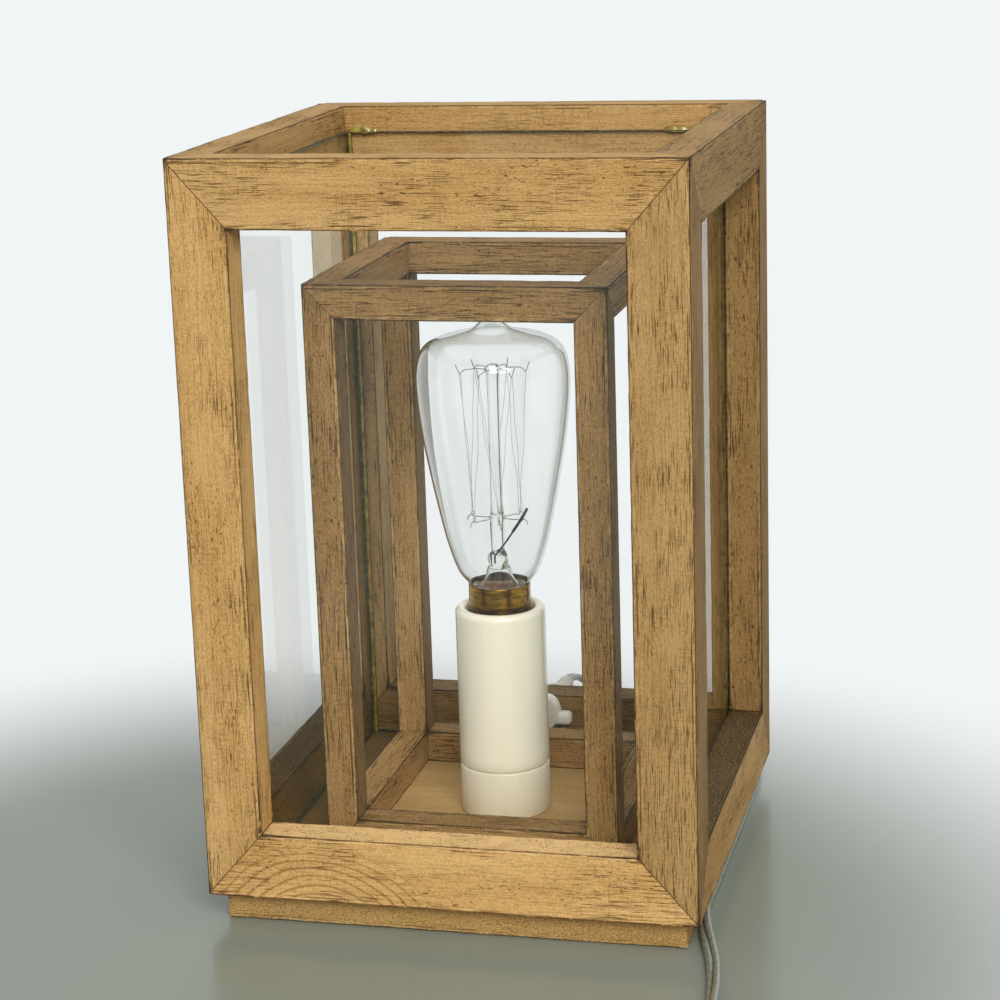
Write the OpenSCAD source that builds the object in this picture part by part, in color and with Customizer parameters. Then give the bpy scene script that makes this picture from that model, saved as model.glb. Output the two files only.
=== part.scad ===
// Lantern table lamp: an open-topped timber lantern of four mitred and glazed frames
// on a base board, with a smaller open timber frame inside it. A screw lampholder in a
// sleeve stands in the middle and takes a clear squirrel-cage bulb. The flat twin lead
// leaves through the back, with a wheel switch, a tied coil and a two-pin plug on it.
// Millimetres, +Z up, origin at the bottom centre of the base board, front towards -Y.

/* [Outer frame] */
// Width of the lantern across its front
frame_w = 200; // [180:1:260]
// Depth of the lantern from front to back
frame_d = 200; // [180:1:260]
// Height of the four outer frames, without the base board
frame_h = 296; // [270:1:340]
// Face width of the upright stiles
stile_w = 24; // [16:0.5:32]
// Face width of the top and bottom rails
rail_w = 27; // [25:0.5:34]
// Thickness of the outer frame timber
frame_t = 15; // [12:0.5:18]

/* [Base] */
// How far the base board stands back under the outer frames
base_inset = 6; // [3:0.5:9]
// Thickness of the base board
base_t = 12; // [10:0.5:20]
// Thickness of the floor panel inside the frames
floor_t = 6; // [4:0.5:8]

/* [Inner frame] */
// Width of the inner frame
inner_w = 122; // [110:1:132]
// Depth of the inner frame
inner_d = 122; // [110:1:132]
// Height of the inner frame above the floor panel
inner_h = 236; // [226:1:250]
// Side of the square inner posts, and thickness of the inner rails
inner_t = 13.5; // [10:0.5:15]
// Face height of the inner rails
inner_rail_w = 14; // [10:0.5:16]

/* [Glass panes] */
// Thickness of the glass panes
pane_t = 2.5; // [2:0.5:4]
// How far the top edge of the panes lies below the top of the frames
pane_drop = 11; // [4:0.5:20]
// Width of the glue beads in the corners of the panes
glue_w = 2.5; // [1.5:0.25:4]

/* [Lampholder] */
// Outside diameter of the sleeve and of the foot ring
sleeve_d = 38; // [36:0.5:42]
// Wall of the sleeve
sleeve_wall = 2; // [1.5:0.25:2.5]
// Height of the whole lampholder above the floor panel
holder_h = 90; // [84:1:100]
// Height of the foot ring below the sleeve
foot_ring_h = 21; // [16:0.5:26]
// Wall of the foot ring
foot_ring_wall = 3.5; // [2.5:0.25:4]
// Diameter of the threaded tube that carries the lampholder
nipple_d = 10; // [8:0.5:12]
// Width across the flats of the nut under the base board
nut_af = 17; // [14:0.5:20]

/* [Bulb] */
// Widest diameter of the bulb glass
bulb_d = 64; // [58:1:70]
// Height of the bulb glass above its brass cap
bulb_h = 114; // [108:1:120]
// Wall of the bulb glass
bulb_wall = 0.8; // [0.6:0.1:1.2]
// Diameter of the brass screw cap
cap_d = 26; // [24:0.5:27]
// Height of the brass cap above the top of the sleeve
collar_h = 10; // [6:0.5:14]
// Height of the threaded part of the brass cap
thread_h = 12; // [10:0.5:13]
// Rise of the bulb in one full turn
thread_pitch = 3.62; // [3:0.01:4]
// Diameter of the glass rod inside the bulb
rod_d = 5.6; // [4:0.2:8]
// Number of filament hooks at each end of the rod
hooks = 6; // [4:1:8]
// Reach of the upper filament hooks from the rod's centre
hook_top_r = 13.5; // [11:0.5:16]
// Reach of the lower filament hooks from the rod's centre
hook_low_r = 11.5; // [9:0.5:13]
// Height of the upper filament hooks above the brass cap
hook_top_h = 91; // [84:1:94]
// Height of the lower filament hooks above the brass cap
hook_low_h = 28; // [25:1:36]
// Height of the pinched part of the stem above the brass cap
press_h = 14; // [12:0.5:16]
// Width of the pinched part of the stem
press_w = 10; // [8:0.5:12]

/* [Cord] */
// Width of the flat twin lead, and diameter of its round stand-in
cord_d = 5.6; // [4:0.2:6]
// Length of the tapered tail of the strain relief
relief_tail = 24; // [20:1:40]
// Length of the body of the wheel switch
switch_l = 56; // [50:1:64]
// Width of the body of the wheel switch
switch_w = 21; // [19:0.5:26]
// Height of the body of the wheel switch
switch_h = 13; // [12:0.5:16]
// Diameter of the switch wheel
wheel_d = 17; // [15:0.5:19]
// Length of the plug body
plug_l = 36; // [30:1:44]
// Width of the plug body
plug_w = 24; // [21:0.5:28]
// Length of the plug blades
blade_l = 17; // [15:0.5:18]
// Distance between the centres of the plug blades
blade_gap = 12.7; // [11:0.1:14]

/* [Clearances] */
// Gap round a pane or a panel that is set into the timber
set_gap = 0.5; // [0.2:0.1:1]
// Gap round a screw, tube or peg in its hole
hole_gap = 0.1; // [0.05:0.05:0.3]
// Running gap round the bulb cap, the bulb neck and the switch wheel's pins
run_gap = 0.08; // [0.04:0.01:0.1]

/* [Hidden] */
$fn = 64;
eps = 0.01;

// Heights above the table
floor_z = base_t + floor_t;
frame_top = base_t + frame_h;
inner_top = floor_z + inner_h;
rail_top = base_t + rail_w;
sleeve_z = floor_z + foot_ring_h;
sleeve_top = floor_z + holder_h;
cap_top = sleeve_top + collar_h;
bulb_top = cap_top + bulb_h;

// The space inside the outer frames
inside_w = frame_w - 2 * frame_t;
inside_d = frame_d - 2 * frame_t;

// Colours, as the photograph shows them
oak = "#C49A62";
oak_grey = "#96795A";
oak_rough = "#B98F55";
glass_tint = [0.85, 0.93, 0.90, 0.35];
glue_tint = [0.85, 0.82, 0.55, 0.6];
cream = "#EBE4CD";
cream_grey = "#D6D2C4";
brass = "#A98638";
dark_brown = "#4A3328";
black = "#1E1C1A";
steel = "#B8BABC";
cord_tint = [0.80, 0.82, 0.80, 0.6];
white = "#EEECE4";

// ---------------------------------------------------------------- shared shapes

// A straight round bar between two points
module bar(a, b, d, sides = 24) {
    v = b - a;
    translate(a)
        rotate([0, acos(v.z / norm(v)), atan2(v.y, v.x)])
            cylinder(d = d, h = norm(v), $fn = sides);
}

// Turns a shape made for the front to one of the four sides, a given way out
module on_side(side, reach) {
    rotate(90 * side) translate([0, -reach, 0]) children();
}

// The front view of one member of a picture frame: both ends are cut at the mitre
module member_face(kind, w, h, sw, rw) {
    x = w / 2;
    if (kind == "left") polygon([[-x, 0], [-x + sw, rw], [-x + sw, h - rw], [-x, h]]);
    if (kind == "right") polygon([[x, 0], [x - sw, rw], [x - sw, h - rw], [x, h]]);
    if (kind == "top") polygon([[-x, h], [-x + sw, h - rw], [x - sw, h - rw], [x, h]]);
    if (kind == "bottom") polygon([[-x, 0], [-x + sw, rw], [x - sw, rw], [x, 0]]);
}

// One member of a frame whose four sides also meet at mitred corners
module member(kind, w, h, sw, rw, t) {
    intersection() {
        translate([0, t, 0]) rotate([90, 0, 0])
            linear_extrude(t) member_face(kind, w, h, sw, rw);
        linear_extrude(h)
            polygon([[-w / 2, 0], [w / 2, 0], [w / 2 - t, t], [-w / 2 + t, t]]);
    }
}

// A countersunk wood screw, head down, with its head flush with z = 0
module wood_screw(d, l) {
    cylinder(d1 = 2 * d, d2 = d, h = d / 2);
    translate([0, 0, d / 2 - eps]) cylinder(d = d, h = l - 1.5 * d);
    translate([0, 0, l - d - 2 * eps]) cylinder(d1 = d, d2 = 0.4, h = d);
}

// The hole that such a screw needs
module screw_hole(d, l) {
    g = 2 * hole_gap;
    translate([0, 0, -eps]) cylinder(d1 = 2 * d + g, d2 = d + g, h = d / 2 + eps);
    cylinder(d = d + g, h = l + hole_gap);
}

// ---------------------------------------------------------------- swept tubes

function unit(v) = v / norm(v);

// Direction of a route at point i
function route_dir(p, i) =
    unit(p[min(i + 1, len(p) - 1)] - p[max(i - 1, 0)]);

// Smooth curve through the points, with n steps in each stretch
function spline_at(a, b, c, d, t) =
    0.5 * (2 * b + (c - a) * t + (2 * a - 5 * b + 4 * c - d) * t * t
        + (3 * b - a - 3 * c + d) * t * t * t);
function spline(p, n) = [
    for (i = [0 : len(p) - 2], s = [0 : n - 1])
        spline_at(p[max(i - 1, 0)], p[i], p[i + 1], p[min(i + 2, len(p) - 1)], s / n),
    p[len(p) - 1]
];

// Sideways direction that stays level along a route, or follows the last one when upright
function side_dir(t, last) =
    let (s = cross(t, [0, 0, 1])) norm(s) > 0.05 ? unit(s) : unit(last - (last * t) * t);
function side_dirs(p, i = 0, last = [1, 0, 0], out = []) =
    i == len(p) ? out :
    let (s = side_dir(route_dir(p, i), last))
        side_dirs(p, i + 1, s, concat(out, [s]));

// A round tube along a route, with its ends square to the first and last stretches
module tube(p, d, sides) {
    n = len(p);
    s = side_dirs(p);
    rings = [
        for (i = [0 : n - 1])
            let (t = i == 0 ? unit(p[1] - p[0])
                    : i == n - 1 ? unit(p[n - 1] - p[n - 2]) : route_dir(p, i),
                 a = unit(s[i] - (s[i] * t) * t), b = cross(a, t))
                for (k = [0 : sides - 1])
                    p[i] + d / 2 * (cos(360 * (k + 0.5) / sides) * a
                        + sin(360 * (k + 0.5) / sides) * b)
    ];
    walls = [
        for (i = [0 : n - 2], k = [0 : sides - 1])
            let (m = (k + 1) % sides, a = i * sides, b = a + sides)
                each [[a + k, a + m, b + m], [a + k, b + m, b + k]]
    ];
    ends = [
        for (k = [1 : sides - 2])
            each [[0, k + 1, k],
                  [(n - 1) * sides, (n - 1) * sides + k, (n - 1) * sides + k + 1]]
    ];
    polyhedron(rings, concat(walls, ends));
}

// ---------------------------------------------------------------- outer frame

module outer(side, kind) {
    turned = side % 2 == 1;
    on_side(side, (turned ? frame_w : frame_d) / 2)
        translate([0, 0, base_t])
            member(kind, turned ? frame_d : frame_w, frame_h, stile_w, rail_w, frame_t);
}

// Base board screws: two up into each bottom rail
base_screw_d = 3;
base_screw_l = 26;
base_screw_in = frame_t - (frame_t - base_inset) / 2;
base_screw_x = 60;
module at_base_screws(side) {
    turned = side % 2 == 1;
    for (x = [-base_screw_x, base_screw_x])
        on_side(side, (turned ? frame_w : frame_d) / 2 - base_screw_in)
            translate([x, 0, 0]) children();
}

module outer_bottom(side) {
    difference() {
        outer(side, "bottom");
        at_base_screws(side) screw_hole(base_screw_d, base_screw_l);
    }
}

module front_left_stile() { color(oak) outer(0, "left"); }
module front_right_stile() { color(oak) outer(0, "right"); }
module front_top_rail() { color(oak) outer(0, "top"); }
module front_bottom_rail() { color(oak) outer_bottom(0); }
module right_front_stile() { color(oak) outer(1, "left"); }
module right_back_stile() { color(oak) outer(1, "right"); }
module right_top_rail() { color(oak) outer(1, "top"); }
module right_bottom_rail() { color(oak) outer_bottom(1); }
module back_right_stile() { color(oak) outer(2, "left"); }
module back_left_stile() { color(oak) outer(2, "right"); }
module back_top_rail() { color(oak) outer(2, "top"); }
module left_back_stile() { color(oak) outer(3, "left"); }
module left_front_stile() { color(oak) outer(3, "right"); }
module left_top_rail() { color(oak) outer(3, "top"); }
module left_bottom_rail() { color(oak) outer_bottom(3); }

// The lead passes through the middle of the back bottom rail
relief_z = 32;
relief_d = cord_d + 4.4;
module relief_bore() {
    translate([0, frame_d / 2 + 1, relief_z]) rotate([90, 0, 0])
        cylinder(d = relief_d + 2 * hole_gap, h = frame_t + pane_t + 2);
}

module back_bottom_rail() {
    color(oak) difference() {
        outer_bottom(2);
        relief_bore();
    }
}

// ---------------------------------------------------------------- inner frame

module inner_post(sx, sy) {
    x = inner_w / 2;
    y = inner_d / 2;
    scale_x = sx > 0 ? "right" : "left";
    scale_y = sy > 0 ? "right" : "left";
    color(oak_grey) difference() {
        translate([0, 0, floor_z]) intersection() {
            translate([0, y, 0]) rotate([90, 0, 0]) linear_extrude(inner_d)
                member_face(scale_x, inner_w, inner_h, inner_t, inner_rail_w);
            translate([-x, 0, 0]) rotate([90, 0, 90]) linear_extrude(inner_w)
                member_face(scale_y, inner_d, inner_h, inner_t, inner_rail_w);
            linear_extrude(inner_h)
                translate([sx * (x - inner_t / 2), sy * (y - inner_t / 2)])
                    square(inner_t, center = true);
        }
        at_post_screw(sx, sy) screw_hole(post_screw_d, post_screw_l);
    }
}

// One screw up through the base board into each inner post
post_screw_d = 3.5;
post_screw_l = 40;
module at_post_screw(sx, sy) {
    translate([sx * (inner_w - inner_t) / 2, sy * (inner_d - inner_t) / 2, 0]) children();
}

module inner_front_left_post() { inner_post(-1, -1); }
module inner_front_right_post() { inner_post(1, -1); }
module inner_back_left_post() { inner_post(-1, 1); }
module inner_back_right_post() { inner_post(1, 1); }

module inner_rails(kind) {
    for (side = [0 : 3]) {
        turned = side % 2 == 1;
        on_side(side, (turned ? inner_w : inner_d) / 2)
            translate([0, 0, floor_z])
                member(kind, turned ? inner_d : inner_w, inner_h,
                       inner_t, inner_rail_w, inner_t);
    }
}

module inner_top_rails() { color(oak_grey) inner_rails("top"); }

// The back one is notched underneath, where the lead passes
notch_w = cord_d + 4;
notch_h = cord_d + 1;
notch_x = 2.5;
module inner_bottom_rails() {
    color(oak_grey) difference() {
        inner_rails("bottom");
        translate([notch_x - notch_w / 2, inner_d / 2 - inner_t - 1, floor_z - eps])
            cube([notch_w, inner_t + 2, notch_h + eps]);
        for (sx = [-1, 1], sy = [-1, 1])
            at_post_screw(sx, sy) screw_hole(post_screw_d, post_screw_l);
    }
}

// ---------------------------------------------------------------- base and floor

module base_board() {
    w = frame_w - 2 * base_inset;
    d = frame_d - 2 * base_inset;
    color(oak_rough) difference() {
        translate([-w / 2, -d / 2, 0]) cube([w, d, base_t]);
        for (side = [0 : 3]) at_base_screws(side) screw_hole(base_screw_d, base_screw_l);
        for (sx = [-1, 1], sy = [-1, 1])
            at_post_screw(sx, sy) screw_hole(post_screw_d, post_screw_l);
        translate([0, 0, -1]) cylinder(d = nipple_d + 2 * hole_gap, h = base_t + 2);
        translate([0, 0, -eps]) cylinder(d = nut_recess_d, h = nut_recess_h + eps);
    }
}

module floor_panel() {
    w = inside_w - 2 * set_gap;
    d = inside_d - 2 * set_gap;
    color(oak) difference() {
        translate([-w / 2, -d / 2, base_t]) cube([w, d, floor_t]);
        for (sx = [-1, 1], sy = [-1, 1])
            at_post_screw(sx, sy) screw_hole(post_screw_d, post_screw_l);
        cylinder(d = nipple_d + 2 * hole_gap, h = floor_z + 1);
    }
}

module base_screws() {
    color(steel) for (side = [0 : 3])
        at_base_screws(side) wood_screw(base_screw_d, base_screw_l);
}

module post_screws() {
    color(steel) for (sx = [-1, 1], sy = [-1, 1])
        at_post_screw(sx, sy) wood_screw(post_screw_d, post_screw_l);
}

// ---------------------------------------------------------------- glass

// The side panes run the full depth, and the front and back panes stand between them
pane_h = frame_h - pane_drop - floor_t;
side_pane_d = inside_d - 2 * set_gap;
front_pane_w = inside_w - 2 * pane_t - 2 * set_gap;

module pane(side, w, reach) {
    color(glass_tint) on_side(side, reach)
        translate([-w / 2, 0, floor_z]) cube([w, pane_t, pane_h]);
}

module front_pane() { pane(0, front_pane_w, inside_d / 2); }
module right_pane() { pane(1, side_pane_d, inside_w / 2); }
// The grip of the lead passes through the back pane and the rail behind it
module back_pane() {
    difference() {
        pane(2, front_pane_w, inside_d / 2);
        relief_bore();
    }
}
module left_pane() { pane(3, side_pane_d, inside_w / 2); }

// A bead of clear glue stands in each corner between two panes, and blobs lie on the
// top edge of the back pane, against the rail
module pane_glue() {
    x = inside_w / 2 - pane_t;
    y = inside_d / 2 - pane_t;
    color(glue_tint) {
        for (sx = [-1, 1], sy = [-1, 1])
            translate([0, 0, floor_z]) linear_extrude(pane_h)
                polygon([[sx * x, sy * y], [sx * (x - glue_w), sy * y],
                         [sx * x, sy * (y - glue_w)]]);
        for (blob = [[-x, 9], [x - 22, 22]])
            translate([blob[0], y, floor_z + pane_h]) rotate([90, 0, 90])
                linear_extrude(blob[1])
                    polygon([[0, 0], [pane_t, 0], [pane_t, glue_w]]);
    }
}

// ---------------------------------------------------------------- lampholder

nut_h = 5;
nut_recess_d = nut_af / cos(30) + 2;
nut_recess_h = nut_h + 1;
body_r = sleeve_d / 2 - sleeve_wall - 0.3;
shell_r = cap_d / 2 + run_gap;
shell_wall = 0.8;
lip_r = cap_d / 2 + 1.2;
body_top = sleeve_top - 7.2;
body_z = sleeve_z + 1;
well_z = cap_top - collar_h - thread_h - 10;
nipple_top = body_z + 10;

module socket_foot_ring() {
    r = sleeve_d / 2;
    color(cream_grey) difference() {
        translate([0, 0, floor_z]) rotate_extrude()
            polygon([[r - foot_ring_wall, 0], [r, 0], [r, foot_ring_h - 0.4],
                     [r - 0.4, foot_ring_h], [r - foot_ring_wall, foot_ring_h]]);
        translate([-cord_d / 2 - hole_gap, 0, floor_z - 1])
            cube([cord_d + 2 * hole_gap, r + 1, cord_d + 1.6]);
    }
}

// A plain tube whose rounded rim turns in to a small lip round the bulb cap
module socket_sleeve() {
    r = sleeve_d / 2;
    ri = r - sleeve_wall;
    rim = 2.6;
    color(cream) rotate_extrude()
        polygon(concat(
            [[ri, sleeve_z], [r - 0.4, sleeve_z], [r, sleeve_z + 0.4]],
            [for (a = [0 : 15 : 90])
                [r - rim + rim * cos(a), sleeve_top - rim + rim * sin(a)]],
            [[lip_r + 0.6, sleeve_top - 2.2], [lip_r, sleeve_top - 3.2],
             [lip_r, sleeve_top - 4.2], [ri, sleeve_top - 6.6]]));
}

// The insulating body: a well for the screw shell above, a socket for the tube below
module holder_body() {
    color(dark_brown) rotate_extrude() difference() {
        translate([0, body_z]) square([body_r, body_top - body_z]);
        translate([0, well_z]) square([shell_r + shell_wall + hole_gap, body_top]);
        translate([0, body_z - 1]) square([nipple_d / 2 + hole_gap, nipple_top - body_z + 1]);
        square([2, frame_h]);
    }
}

module screw_shell() {
    color(brass) translate([0, 0, well_z + 2]) difference() {
        cylinder(r = shell_r + shell_wall, h = body_top - well_z - 2);
        translate([0, 0, -1]) cylinder(r = shell_r, h = body_top - well_z + 2);
    }
}

// A springy disc at the foot of the well, raised to meet the bulb
contact_z = cap_top - collar_h - thread_h - 5;
module centre_contact() {
    color(brass) translate([0, 0, well_z]) rotate_extrude()
        polygon([[2.2, 0], [9, 0], [9, 1], [5, 1.2], [3.5, contact_z - well_z - run_gap],
                 [0, contact_z - well_z - run_gap], [0, contact_z - well_z - 1],
                 [2.4, contact_z - well_z - 1.2]]);
}

module socket_nipple() {
    color(steel) translate([0, 0, 1]) difference() {
        cylinder(d = nipple_d, h = nipple_top - 1 - hole_gap);
        translate([0, 0, -1]) cylinder(d = nipple_d - 3, h = nipple_top + 2);
    }
}

module socket_nut() {
    color(steel) translate([0, 0, nut_recess_h - nut_h]) difference() {
        cylinder(d = nut_af / cos(30), h = nut_h, $fn = 6);
        translate([0, 0, -1]) cylinder(d = nipple_d + 2 * hole_gap, h = nut_h + 2);
    }
}

terminal_x = 10;
module terminal_screws() {
    color(brass) for (sx = [-1, 1])
        translate([sx * terminal_x, 0, body_z - 2]) cylinder(d = 6, h = 2);
}

// ---------------------------------------------------------------- bulb

// Cap shell with round thread rings, which slide past the plain screw shell
neck_r = cap_d / 2 - 0.5 - run_gap;
neck_in = 6;
thread_z = cap_top - collar_h - thread_h;
module bulb_cap() {
    r = cap_d / 2;
    wave = [
        for (i = [0 : 6 * floor(thread_h / thread_pitch)])
            [r - 0.35 + 0.35 * cos(60 * i), thread_z + 0.6 + i * thread_pitch / 6]
    ];
    color(brass) rotate_extrude()
        polygon(concat(
            [[r - 2.2, thread_z - 1.6], [r - 1.2, thread_z]], wave,
            [[r, cap_top - collar_h], [r, cap_top - 0.3], [r - 0.2, cap_top],
             [r - 0.5, cap_top], [r - 0.5, cap_top - neck_in - 0.4],
             [r - 1.3, cap_top - neck_in - 1.2],
             [r - 1.3, thread_z + 0.4], [r - 2.2, thread_z - 1]]));
}

module cap_insulator() {
    r = cap_d / 2 - 2.2;
    color(black) rotate_extrude()
        polygon([[0, contact_z + 1.2], [4.4, contact_z + 1.2], [5.4, contact_z + 0.8],
                 [r, thread_z - 1.6], [r, thread_z + 0.4], [0, thread_z + 0.4]]);
}

module cap_contact() {
    color(steel) translate([0, 0, contact_z]) rotate_extrude()
        polygon([[0, 0], [3.4, 0], [4.4, 0.6], [4.4, 1.2], [0, 1.2]]);
}

// Outline of the glass: radius as a share of the widest, height as a share of the glass
bulb_shape = [
    [0.380, 0.000], [0.455, 0.020], [0.545, 0.060], [0.660, 0.160], [0.760, 0.285],
    [0.860, 0.430], [0.945, 0.575], [0.995, 0.720], [0.985, 0.815], [0.900, 0.880],
    [0.700, 0.915], [0.430, 0.933], [0.270, 0.946], [0.175, 0.968], [0.110, 0.990]
];
// The neck keeps its own radius, and the rest follows the widest diameter
function shape_r(i) = i == 0 ? neck_r : bulb_shape[i][0] * bulb_d / 2;
bulb_line = spline([for (i = [0 : len(bulb_shape) - 1])
    [shape_r(i), cap_top + bulb_shape[i][1] * bulb_h, 0]], 4);

// The same line moved in by the wall
function line_in(p, i, t) =
    let (d = route_dir(p, i)) [max(p[i].x - t * d.y, 0.3), p[i].y + t * d.x];

module bulb_glass() {
    n = len(bulb_line);
    inner_n = n - 7;
    color(glass_tint) rotate_extrude() {
        polygon(concat(
            [[neck_r - bulb_wall, cap_top - neck_in], [neck_r, cap_top - neck_in]],
            [for (p = bulb_line) [p.x, p.y]],
            [[0.05 * bulb_d / 2, bulb_top], [0, bulb_top],
             [0, line_in(bulb_line, inner_n - 1, bulb_wall).y]],
            [for (i = [inner_n - 1 : -1 : 1]) line_in(bulb_line, i, bulb_wall)],
            [[neck_r - bulb_wall, cap_top + 0.2]]));
    }
}

// Stem: a flared tube sealed to the neck, a pinched block and a glass rod
press_z = cap_top;
hook_top_z = cap_top + hook_top_h;
hook_low_z = cap_top + hook_low_h;
module bulb_stem() {
    r = neck_r - bulb_wall - run_gap;
    color(glass_tint) {
        translate([0, 0, press_z - neck_in]) rotate_extrude()
            polygon([[0, 0.6], [r, 0], [r, 0.8], [6, 3], [4.6, neck_in], [0, neck_in]]);
        hull() {
            translate([0, 0, press_z - eps]) cylinder(r = 4.6, h = 1, $fn = 32);
            translate([0, 0, press_z + press_h / 2]) cube([press_w, press_w / 2, press_h - 3], center = true);
            translate([0, 0, press_z + press_h - 1]) cylinder(d = rod_d, h = 1, $fn = 32);
        }
        translate([0, 0, press_z + press_h - eps])
            cylinder(d = rod_d, h = hook_top_z + 3 - press_z - press_h);
    }
}

// The point of hook k, on the upper or the lower ring
function hook_top(k) =
    let (a = 360 * (k + 0.3) / hooks) [hook_top_r * cos(a), hook_top_r * sin(a), hook_top_z];
function hook_low(k) =
    let (a = 360 * (k + 0.55) / hooks) [hook_low_r * cos(a), hook_low_r * sin(a), hook_low_z];

wire_d = 0.5;
filament_d = 0.25;
// The side of the hook's point, towards or away from the middle
function beside(p, side) = p + side * (wire_d + filament_d + 0.1) / 2 * unit([p.x, p.y, 0]);

module hook_arm(p, tip) {
    start = (rod_d / 2 - 0.4) * unit([p.x, p.y, 0]) + [0, 0, p.z];
    bar(start, p + wire_d / 2 * unit([p.x, p.y, 0]), wire_d, 16);
    bar(p, p + tip, 0.8 * wire_d, 16);
}

module support_wires() {
    color(steel) {
        for (k = [0 : hooks - 1]) {
            hook_arm(hook_top(k), [0, 0, 4]);
            hook_arm(hook_low(k), [0, 0, -4]);
        }
    }
}

// The filament runs up and down between the two rings of hooks
module filament() {
    color(black) for (k = [0 : hooks - 1]) {
        bar(beside(hook_low(k), 1) + [0, 0, 0.5], beside(hook_top(k), 1) - [0, 0, 0.5],
            filament_d, 13);
        if (k < hooks - 1)
            bar(beside(hook_low(k), -1) + [0, 0, 0.5],
                beside(hook_top(k + 1), -1) - [0, 0, 0.5], filament_d, 13);
    }
}

// The two lead-in wires rise from the pinched block
lead_d = 0.9;
module lead_wires() {
    base = press_z + press_h - 4.5;
    color(black) {
        x = 0.4 * press_w;
        bar([x, -1, base], [x + 5, -4.5, hook_low_z - 3], lead_d, 16);
        bar([-x, 1, base], [-x - 2.5, 3.5, hook_low_z - 2], lead_d, 16);
    }
}

// ---------------------------------------------------------------- cord

// Height of the middle of a cord that lies on a surface
cord_lift = cord_d / 2 + 0.1;

// Inside the lamp: down from the grip, along the floor and into the foot ring
grip_h = 5.8;
grip_w = 23;
grip_depth = 7;
grip_lobe_w = 11.4;
grip_lobe_h = 8;
grip_cord_x = 6.5;
grip_back = inside_d / 2 - pane_t;
grip_cord_y = grip_back - grip_depth / 2;
inner_route = [
    [grip_cord_x, grip_cord_y, relief_z - grip_h],
    [grip_cord_x, grip_cord_y, relief_z - grip_h - 1.2],
    [grip_cord_x - 0.3, grip_cord_y - 1.6, floor_z + cord_lift + 2],
    [grip_cord_x - 0.9, grip_cord_y - 5, floor_z + cord_lift + 0.2],
    [grip_cord_x - 2, grip_cord_y - 12, floor_z + cord_lift],
    [notch_x + 0.6, inner_d / 2, floor_z + cord_lift],
    [notch_x - 0.6, inner_d / 2 - inner_t, floor_z + cord_lift],
    [0, sleeve_d / 2 + 12, floor_z + cord_lift],
    [0, sleeve_d / 2 + 4, floor_z + cord_lift],
    [0, sleeve_d / 2 - foot_ring_wall, floor_z + cord_lift]
];
module inner_cord() {
    end = sleeve_d / 2 - foot_ring_wall;
    color(cord_tint) {
        tube(inner_route, cord_d, 8);
        for (sx = [-1, 1])
            tube([[sx * 1.3, end, floor_z + cord_lift],
                  [sx * 1.6, end - 2, floor_z + cord_lift],
                  [sx * (terminal_x - 3), end - 6, floor_z + cord_lift + 5],
                  [sx * terminal_x, 1.5, body_z - 8],
                  [sx * terminal_x, 0, body_z - 5],
                  [sx * terminal_x, 0, body_z - 2.02]], 2, 8);
    }
}

// White grip: a head with two steps inside, a peg through the rail and a tapered tail
module strain_relief() {
    r = relief_d / 2;
    peg = frame_t + pane_t + eps;
    color(white) {
        translate([-grip_w / 2, grip_back - grip_depth, relief_z - grip_h])
            cube([grip_w, grip_depth, grip_h]);
        intersection() {
            translate([0, grip_back, relief_z]) rotate([90, 0, 0])
                cylinder(r = grip_lobe_h, h = grip_depth);
            translate([-grip_lobe_w / 2, grip_back - grip_depth, relief_z - eps])
                cube([grip_lobe_w, grip_depth, grip_lobe_h]);
        }
        translate([0, grip_back - eps, relief_z]) rotate([-90, 0, 0]) rotate_extrude()
            polygon([[0, 0], [r, 0], [r, peg], [r + 2.5, peg],
                     [r + 2.5, peg + 1.6], [r + 1.9, peg + 2.2], [r, peg + 2.6],
                     [cord_d / 2 + 0.6, peg + relief_tail], [0, peg + relief_tail]]);
    }
}

// The lead: out of the tail, down to the table, round the corner, along the right side
// under the overhang of the frames, and on to the switch
switch_x = 112;
switch_y = -180;
switch_z = switch_h / 2;
relief_end = frame_d / 2 + relief_tail;
lead_route = [
    [0, relief_end, relief_z], [0, 130, 32], [1, 138, 30.5], [3, 147, 26.5], [6, 156, 20],
    [11, 165, 13], [19, 173, 7], [30, 178.5, 4], [43, 180, 3], [56, 176.5, 3],
    [67.5, 168, 3], [76.5, 156.5, 3], [83.5, 143, 3], [89, 128.5, 3], [93.2, 113.5, 3],
    [96, 98.5, 3], [97, 83, 3], [97, 62, 3], [97, 40, 3], [97, 16, 3], [97, -8, 3],
    [97, -32, 3], [97, -55, 3], [98.6, -73, 3], [102, -90, 3], [106, -107, 3],
    [109, -124, 3], [111, -140, 3], [112, -154, 3.6], [112, -166, 5.2],
    [switch_x, -174, switch_z], [switch_x, switch_y, switch_z]
];
module cord_lead() { color(cord_tint) tube(lead_route, cord_d, 8); }

// Wheel switch: two half shells, a wheel on two short pins and one screw
wheel_t = 4;
pin_d = 4;
wheel_x = 3.5;
switch_mid = switch_y - switch_l / 2;
screw_x = -7.2;
screw_y = 14;

module switch_block(z0, z1) {
    hull() for (sx = [-1, 1], sy = [-1, 1])
        translate([sx * (switch_w / 2 - 4), sy * (switch_l / 2 - 4), z0])
            cylinder(r = 4, h = z1 - z0, $fn = 32);
}

module switch_hollow() {
    translate([wheel_x, 0, switch_z - wheel_t / 2 - 0.4])
        cylinder(d = wheel_d + 1.2, h = wheel_t + 0.8);
    translate([wheel_x, 0, switch_z - wheel_t / 2 - 2.4])
        cylinder(d = pin_d + 2 * run_gap, h = wheel_t + 4.8);
}

module at_switch() { translate([switch_x, switch_mid, 0]) children(); }

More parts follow.
